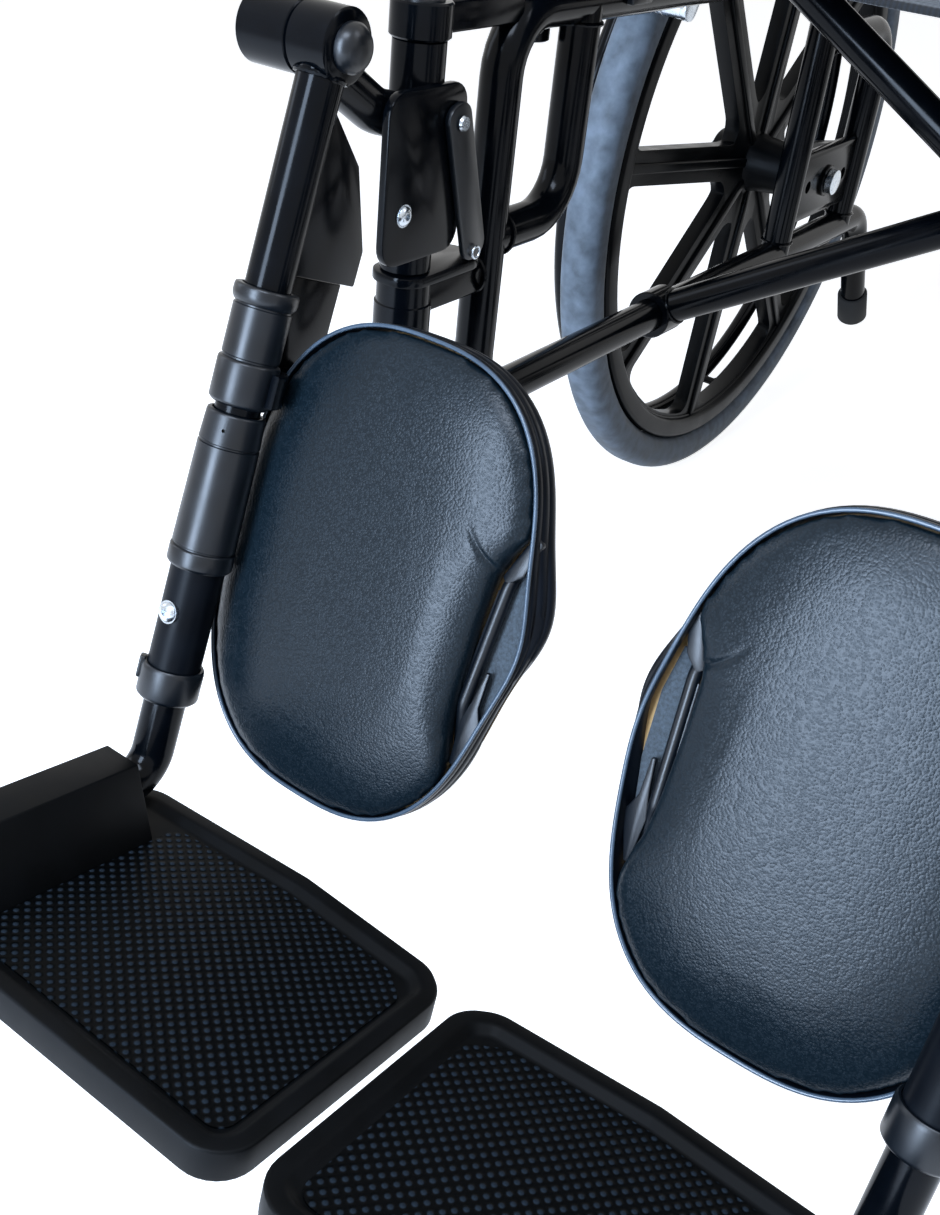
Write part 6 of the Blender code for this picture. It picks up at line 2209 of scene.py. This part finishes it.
@dataclass
class Caster:
    """The caster: stem, fork, wheel and tyre."""

    wheel_radius: float = 0.0807
    tyre_radius: float = 0.1
    tyre_depth: float = 0.019
    tyre_width: float = 0.028
    leg_gap: float = 0.0225
    leg: float = 0.004

    def build(self) -> None:
        """Builds and fits both casters."""
        self.fork()
        self.wheel()

    def fork(self) -> None:
        """The fork: stem, washer, crown, two legs and the axle pin."""
        x, y = SIDE_X, HINGE_Y
        stem = turned(
            "stem", (x, y, 0), (0, 0, 1),
            [
                (0.214, 0.008), (0.22, 0.008), (0.22, 0.0155), (0.2206, 0.0165), (0.231, 0.0165),
                (0.2317, 0.0155), (0.2317, 0.008), (0.324, 0.008), (0.3247, 0.0072),
            ],
            36,
        )
        crown = block("crown", (x - 0.025, -0.305, 0.212), (x + 0.025, -0.251, 0.222), 0.003)
        legs = []
        for side in (-1, 1):
            outline = [
                (-0.303, 0.219), (-0.303, 0.212), (-0.252, 0.098), (-0.247, 0.087), (-0.227, 0.087),
                (-0.222, 0.098), (-0.253, 0.212), (-0.253, 0.219),
            ]
            plane = across_plane(x + side * self.leg_gap)
            legs.append(slab_of(f"fork_leg_{side + 1}", outline, plane, self.leg, 0.001))
        pin = turned(
            "caster_pin", (0, CASTER_AXLE.y, CASTER_AXLE.z), (1, 0, 0),
            [
                (x - 0.0278, 0.006), (x - 0.027, 0.007), (x - 0.025, 0.007), (x - 0.025, 0.004),
                (x + 0.025, 0.004), (x + 0.025, 0.007), (x + 0.027, 0.007), (x + 0.0278, 0.006),
            ],
            24,
        )
        for piece in (crown, *legs):
            painted(piece, Finishes.ENAMEL)
        for piece in (stem, pin):
            painted(piece, Finishes.ZINC)
        fit_pair(merged("fork", crown, *legs, stem, pin), "caster_fork", "caster_swivel")

    def wheel(self) -> None:
        """The caster's wheel, with a dished web between hub and rim, and its tyre."""
        centre, r = CASTER_AXLE, self.wheel_radius
        profile = [
            (-0.0196, 0.0132), (-0.019, 0.014), (-0.0042, 0.018), (-0.004, 0.064), (-0.0095, 0.069),
            (-0.0098, r - 0.001), (-0.009, r), (0.009, r), (0.0098, r - 0.001), (0.0095, 0.069),
            (0.004, 0.064), (0.0042, 0.018), (0.019, 0.014), (0.0196, 0.0132),
        ]
        wheel = turned("caster_wheel", centre, (1, 0, 0), profile, 72)
        fit_pair(painted(wheel, Finishes.WHEEL), "caster_wheel", "caster_roll")
        tyre = hoop("caster_tyre", centre, self.tyre_radius, self.tyre_width, self.tyre_depth, 0.0105, 96, 7)
        fit_pair(painted(tyre, Finishes.TYRE), "caster_tyre", "caster_roll", 50)


# ---------------------------------------------------------------- the middle and the wheel locks


@dataclass
class CrossBrace:
    """The cross brace: two tubes that cross, each with a hinge barrel below and a seat rail on top."""

    foot: float = 0.23
    plane_a: float = 0.0445
    plane_b: float = 0.0755
    cross_z: float = 0.38548
    shaft: float = 0.0125
    barrel: float = 0.0181
    barrel_length: float = 0.028
    rail: float = 0.0115
    rail_front: float = -0.19
    rail_rear: float = 0.238

    def build(self) -> None:
        """Builds and fits both braces and the bolt between them."""
        for name, y, side in (("brace_a", self.plane_a, -1), ("brace_b", self.plane_b, 1)):
            low = Vector((side * self.foot, y, LOWER_RAIL_Z))
            high = Vector((-side * self.foot, y, SEAT_RAIL_Z))
            piece = self.brace(name, low, high)
            piece.name = piece.data.name = f"{name}_piece"
            fit(piece, name, [name])
        self.bolt()

    def brace(self, name: str, low: Vector, high: Vector) -> Piece:
        """One brace with its barrel round the lower rail and its seat rail.

        Args:
            name: the brace's name.
            low: the middle of its barrel.
            high: where it meets its seat rail.

        Returns:
            The brace.
        """
        way = (high - low).normalized()
        start, end = low + way * 0.015, high - way * 0.006
        tube = turned(f"{name}_tube", start, way, [(0, self.shaft), ((end - start).length, self.shaft)], 36)
        half = self.barrel_length / 2
        outer = turned(
            f"{name}_barrel", low, (0, 1, 0),
            [
                (-half, self.barrel - 0.001), (-half + 0.001, self.barrel), (half - 0.001, self.barrel),
                (half, self.barrel - 0.001),
            ],
            44,
        )
        bore = turned(f"{name}_bore", low, (0, 1, 0), [(-0.03, 0.01285), (0.03, 0.01285)], 44)
        barrel = cut_away(outer, bore)
        rail = turned(
            f"{name}_rail", (high.x, 0, high.z), (0, 1, 0),
            [(self.rail_front, self.rail), (self.rail_rear, self.rail)], 36,
        )
        plugs = [
            painted(
                turned(
                    f"{name}_plug_{k}", (high.x, y, high.z), (0, side, 0),
                    [
                        (-0.002, self.rail - 0.0004), (0.0004, self.rail + 0.0002),
                        (0.0022, self.rail - 0.0008), (0.003, self.rail - 0.004),
                    ],
                    28,
                ),
                Finishes.PLASTIC,
            )
            for k, (y, side) in enumerate(((self.rail_front, -1), (self.rail_rear, 1)))
        ]
        beads = [
            weld(f"{name}_weld_low", low + way * (self.barrel - 0.0008), way, self.shaft),
            weld(f"{name}_weld_high", high - way * (self.rail - 0.0002), way, self.shaft),
        ]
        for piece in (tube, barrel, rail):
            painted(piece, Finishes.ENAMEL)
        return merged(name, tube, barrel, rail, *plugs, *beads)

    def bolt(self) -> None:
        """The pivot bolt with its spacer, head and nut."""
        y = (self.plane_a + self.plane_b) / 2
        profile = [
            (-0.0323, 0.0052), (-0.0316, 0.0068), (-0.03, 0.0075), (-0.0283, 0.0075), (-0.0283, 0.004),
            (-0.0027, 0.004), (-0.0027, 0.0075), (0.0027, 0.0075), (0.0027, 0.004), (0.0283, 0.004),
            (0.0283, 0.0075), (0.03, 0.0075), (0.0316, 0.0068), (0.0323, 0.0052),
        ]
        bolt = turned("bolt", (0, y, self.cross_z), (0, 1, 0), profile, 30)
        piece = painted(bolt, Finishes.ZINC)
        piece.name = piece.data.name = "pivot_bolt_piece"
        fit(piece, "brace_a", ["pivot_bolt"])


@dataclass
class WheelLock:
    """The push-to-lock brake: a lever with a knob, and the shoe bar that bears on the tyre."""

    handle: tuple[float, float] = (0.012, 0.4925)
    shoe_pivot: tuple[float, float] = (0.0795, 0.5045)
    shoe: tuple[float, float] = (0.057, 0.4655)
    lean: float = math.radians(10)

    def build(self) -> None:
        """Builds and fits both locks."""
        self.lever()
        self.bar()

    def lever(self) -> None:
        """The handle: a flat link at the pivot, a rod and a rubber knob."""
        way = Vector((0, -math.sin(self.lean), math.cos(self.lean)))
        base = Vector((0.269, *self.handle))
        side = across_plane(*base)
        link = panel(
            "link", (-0.009, -0.009), (0.009, 0.032), 0.0058, 0.0078,
            side @ Matrix.Rotation(self.lean, 4, "Z"), 0.001,
        )
        hole = turned("link_hole", base - Vector((0.01, 0, 0)), (1, 0, 0), [(0, 0.0043), (0.02, 0.0043)], 28)
        cut_away(link, hole)
        rod = turned("rod", base, way, [(0.028, 0.0044), (0.03, 0.005), (0.118, 0.005)], 24)
        knob = turned(
            "knob", base, way,
            [
                (0.115, 0.0064), (0.1165, 0.0076), (0.125, 0.008), (0.14, 0.0084), (0.1525, 0.009),
                (0.157, 0.0085), (0.1592, 0.007), (0.16, 0.0045),
            ],
            32,
        )
        for piece, finish in ((link, Finishes.ZINC), (rod, Finishes.ZINC), (knob, Finishes.RUBBER)):
            painted(piece, finish)
        fit_pair(merged("lever", link, rod, knob), "brake_handle", "lock_handle")

    def bar(self) -> None:
        """The shoe: a flat arm and the knurled bar across the tyre."""
        pivot, end = Vector(self.shoe_pivot), Vector(self.shoe)
        length = (end - pivot).length
        angle = math.atan2(end.y - pivot.y, end.x - pivot.x)
        side = across_plane(0.2535, pivot.x, pivot.y)
        arm = panel(
            "shoe_arm", (-0.009, -0.009), (length + 0.0085, 0.009), 0.0058, 0.0085,
            side @ Matrix.Rotation(angle, 4, "Z"), 0.001,
        )
        hole = turned("arm_hole", (0.245, *pivot), (1, 0, 0), [(0, 0.0043), (0.02, 0.0043)], 28)
        cut_away(arm, hole)
        profile = [(0.2516, 0.0076), (0.2525, 0.008), (0.27, 0.008)]
        for rib in range(BAR_RIBS):
            x = 0.272 + rib * 0.0045
            profile += [(x, 0.0074), (x + 0.0012, 0.008), (x + 0.0033, 0.008)]
        profile += [(0.319, 0.0078), (0.32, 0.0068)]
        bar = turned("shoe_bar", (0, *end), (1, 0, 0), profile, 24)
        for piece in (arm, bar):
            painted(piece, Finishes.ZINC)
        fit_pair(merged("shoe", arm, bar), "brake_shoe", "lock_shoe")


@dataclass
class Slings:
    """The seat and back slings: woven nylon, hemmed along their edges."""

    half_width: float = 0.2415
    front: float = -0.186
    rear: float = 0.234
    edge_z: float = 0.53627
    sag: float = 0.016
    thickness: float = 0.004
    back_half: float = 0.2172
    back_low: float = 0.56
    back_high: float = 0.885
    back_y: float = 0.262
    belly: float = 0.022

    def build(self) -> None:
        """Builds and fits both slings."""
        self.seat()
        self.back()

    def surface(
        self, name: str, across: int, along: int, at: Callable[[float, float], Vector], thickness: float,
    ) -> Piece:
        """A sheet with thickness over a grid: a subdivided plane whose points are placed, then made solid.

        Args:
            name: the sheet's name.
            across: cuts across it.
            along: cuts along it.
            at: gives the place of a point from its (u, v), each from -1 to 1.
            thickness: the sheet's thickness.

        Returns:
            The sheet.
        """
        bpy.ops.object.select_all(action="DESELECT")
        bpy.ops.mesh.primitive_grid_add(
            x_subdivisions=across, y_subdivisions=along, size=2, location=(0, 0, 0),
        )
        sheet = named(name)
        for vert in sheet.data.vertices:
            vert.co = at(vert.co.x, vert.co.y)
        shape_by(sheet, "SOLIDIFY", thickness=thickness, offset=0.0)
        return soften(sheet, thickness * 0.3, 2, 60)

    def seat(self) -> None:
        """The seat sling: it hangs between the seat rails, with a hem along each rail and stitched edges."""
        middle, half_long = (self.front + self.rear) / 2, (self.rear - self.front) / 2

        def place(u: float, v: float) -> Vector:
            """Where a point of the seat lies."""
            dip = self.sag * (1 - u * u) * (1 - 0.12 * v * v)
            ripple = 0.0009 * noise.noise(Vector((u * 3.0, v * 4.0, 0.7))) * (1 - u * u)
            hem = 0.0007 * (
                math.exp(-(((abs(u) - 0.93) / 0.012) ** 2)) + math.exp(-(((abs(v) - 0.955) / 0.01) ** 2))
            )
            return Vector((u * self.half_width, middle + v * half_long, self.edge_z - dip + ripple - hem))

        seat = painted(self.surface("seat", 88, 76, place, self.thickness), Finishes.SEAT_CLOTH)
        seat.name = seat.data.name = "seat_sling_piece"
        smooth(seat, 180)
        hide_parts("seat_sling")
        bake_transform(seat)

    def back(self) -> None:
        """The back sling: it wraps the back posts and bellies to the rear."""
        middle, half_high = (self.back_low + self.back_high) / 2, (self.back_high - self.back_low) / 2

        def place(u: float, v: float) -> Vector:
            """Where a point of the back lies."""
            ripple = 0.0012 * noise.noise(Vector((u * 3.0, v * 3.5, 4.2))) * (1 - u * u)
            hem = 0.0007 * (
                math.exp(-(((abs(u) - 0.92) / 0.012) ** 2)) + math.exp(-(((abs(v) - 0.95) / 0.012) ** 2))
            )
            depth = self.back_y + self.belly * (1 - u * u) + ripple + hem
            return Vector((u * self.back_half, depth, middle + v * half_high))

        back = painted(self.surface("back", 80, 64, place, self.thickness), Finishes.BACK_CLOTH)
        back.name = back.data.name = "back_sling_piece"
        smooth(back, 180)
        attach(back, "right_frame")
        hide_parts("back_sling")
        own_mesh(back)


# ---------------------------------------------------------------- the studio


@dataclass
class Studio:
    """The camera, the floor, the lights and the white surroundings."""

    lens_mm: float = 38.465
    sensor_mm: float = 36.0
    at: tuple[float, float, float] = (0.20565, -0.85471, 0.60546)
    right: tuple[float, float, float] = (0.8027, 0.58916, 0.09248)
    up: tuple[float, float, float] = (-0.38896, 0.39964, 0.83006)
    back: tuple[float, float, float] = (0.45208, -0.70226, 0.54995)
    aim: tuple[float, float, float] = (-0.2, -0.42, 0.33)

    def build(self) -> None:
        """Sets the camera, the floor, the lights and the world."""
        self.camera()
        self.floor()
        self.lights()
        self.world()
        scene = bpy.context.scene
        scene.view_settings.view_transform = "Standard"

    def camera(self) -> None:
        """The camera that looks down at the right legrest from in front."""
        data = bpy.data.cameras.new("camera")
        data.lens, data.sensor_width = self.lens_mm, self.sensor_mm
        camera = bpy.data.objects.new("camera", data)
        bpy.context.scene.collection.objects.link(camera)
        turn = Matrix((self.right, self.up, self.back)).transposed().to_4x4()
        camera.matrix_world = Matrix.Translation(self.at) @ turn
        data.clip_start = 0.01
        bpy.context.scene.camera = camera

    def floor(self) -> None:
        """A large pale disc that shows near white to the camera and keeps a soft shadow."""
        piece = disc("studio_floor", (0, 0, -0.0005), (0, 0, 1), 30.0, 64)
        material = bpy.data.materials.new("studio_paper_white")
        material.use_nodes = True
        tree = material.node_tree
        shader = tree.nodes["Principled BSDF"]
        shader.inputs["Base Color"].default_value = linear("#f2f2f2")
        shader.inputs["Roughness"].default_value = 0.9
        shader.inputs["Specular IOR Level"].default_value = 0.1
        path = add_node(tree, "ShaderNodeLightPath")
        glow = add_node(tree, "ShaderNodeEmission", {"Color": linear("#ffffff"), "Strength": 0.86})
        both = add_node(tree, "ShaderNodeAddShader", links={0: shader.outputs[0], 1: glow.outputs[0]})
        switch = add_node(
            tree, "ShaderNodeMixShader",
            links={0: self.looking(tree, path), 1: shader.outputs[0], 2: both.outputs[0]},
        )
        tree.links.new(switch.outputs[0], tree.nodes["Material Output"].inputs["Surface"])
        piece.data.materials.append(material)

    @staticmethod
    def looking(tree: Tree, path: Node) -> Socket:
        """A socket that is 1 for the camera's rays, reflections and rays through glass, and else 0.

        Args:
            tree: the node tree.
            path: its Light Path node.

        Returns:
            The socket.
        """
        mirrored = add_node(
            tree, "ShaderNodeMath", {"operation": "MAXIMUM"},
            {0: path.outputs["Is Glossy Ray"], 1: path.outputs["Is Transmission Ray"]},
        )
        either = add_node(
            tree, "ShaderNodeMath", {"operation": "MAXIMUM"},
            {0: path.outputs["Is Camera Ray"], 1: mirrored.outputs[0]},
        )
        return either.outputs[0]

    def softbox(
        self, name: str, way: Point, distance: float, size: tuple[float, float], watts: float, colour: str,
    ) -> None:
        """A rectangular lamp that faces the legrest.

        Args:
            name: the lamp's name.
            way: the direction to it from the legrest.
            distance: how far away it is.
            size: its width and height.
            watts: its power.
            colour: its colour.
        """
        data = bpy.data.lights.new(name, "AREA")
        data.shape = "RECTANGLE"
        data.size, data.size_y = size
        data.energy = watts
        data.color = linear(colour)[:3]
        lamp = bpy.data.objects.new(name, data)
        bpy.context.scene.collection.objects.link(lamp)
        way = Vector(way).normalized()
        lamp.location = Vector(self.aim) + way * distance
        lamp.rotation_euler = way.to_track_quat("Z", "Y").to_euler()

    def lights(self) -> None:
        """The lamps: a tall one in front, a broad one overhead, and two faint ones at the sides."""
        self.softbox("strip", (-0.03, -0.95, 0.27), 1.7, (0.55, 1.5), 72.0, "#c8defa")
        self.softbox("top", (0.22, -0.42, 0.8), 1.9, (1.1, 0.5), 32.0, "#d4e4fb")
        self.softbox("left", (-0.9, -0.25, 0.4), 2.0, (0.6, 1.0), 5.0, "#dceaff")
        self.softbox("right", (0.62, 0.3, 0.6), 2.0, (0.4, 0.9), 6.0, "#e4eeff")

    def world(self) -> None:
        """White surroundings for the camera, a dim grey for everything else."""
        world = bpy.data.worlds.new("studio")
        bpy.context.scene.world = world
        world.use_nodes = True
        tree = world.node_tree
        tree.nodes.clear()
        path = add_node(tree, "ShaderNodeLightPath")
        seen = add_node(tree, "ShaderNodeBackground", {"Color": linear("#ffffff"), "Strength": 1.0})
        lit = add_node(tree, "ShaderNodeBackground", {"Color": linear("#c8d2de"), "Strength": 0.12})
        mix = add_node(
            tree, "ShaderNodeMixShader",
            links={0: self.looking(tree, path), 1: lit.outputs[0], 2: seen.outputs[0]},
        )
        output = add_node(tree, "ShaderNodeOutputWorld")
        tree.links.new(mix.outputs[0], output.inputs["Surface"])


def main() -> None:
    """Builds every sub-assembly in order, and reports each of its pieces."""
    logging.basicConfig(level=logging.INFO, format="%(message)s")
    parts = (
        Legrest(), Footplate(), CalfPad(), Hanger(), SideFrame(), PushGrip(), ArmRest(), CrossBrace(),
        RearWheel(), Caster(), WheelLock(), Slings(), Studio(),
    )
    for part in parts:
        known = {piece.name for piece in bpy.data.objects}
        part.build()
        for piece in bpy.data.objects:
            if piece.name not in known:
                log.info("%s: %s", type(part).__name__, piece.name)


if __name__ == "__main__":
    main()
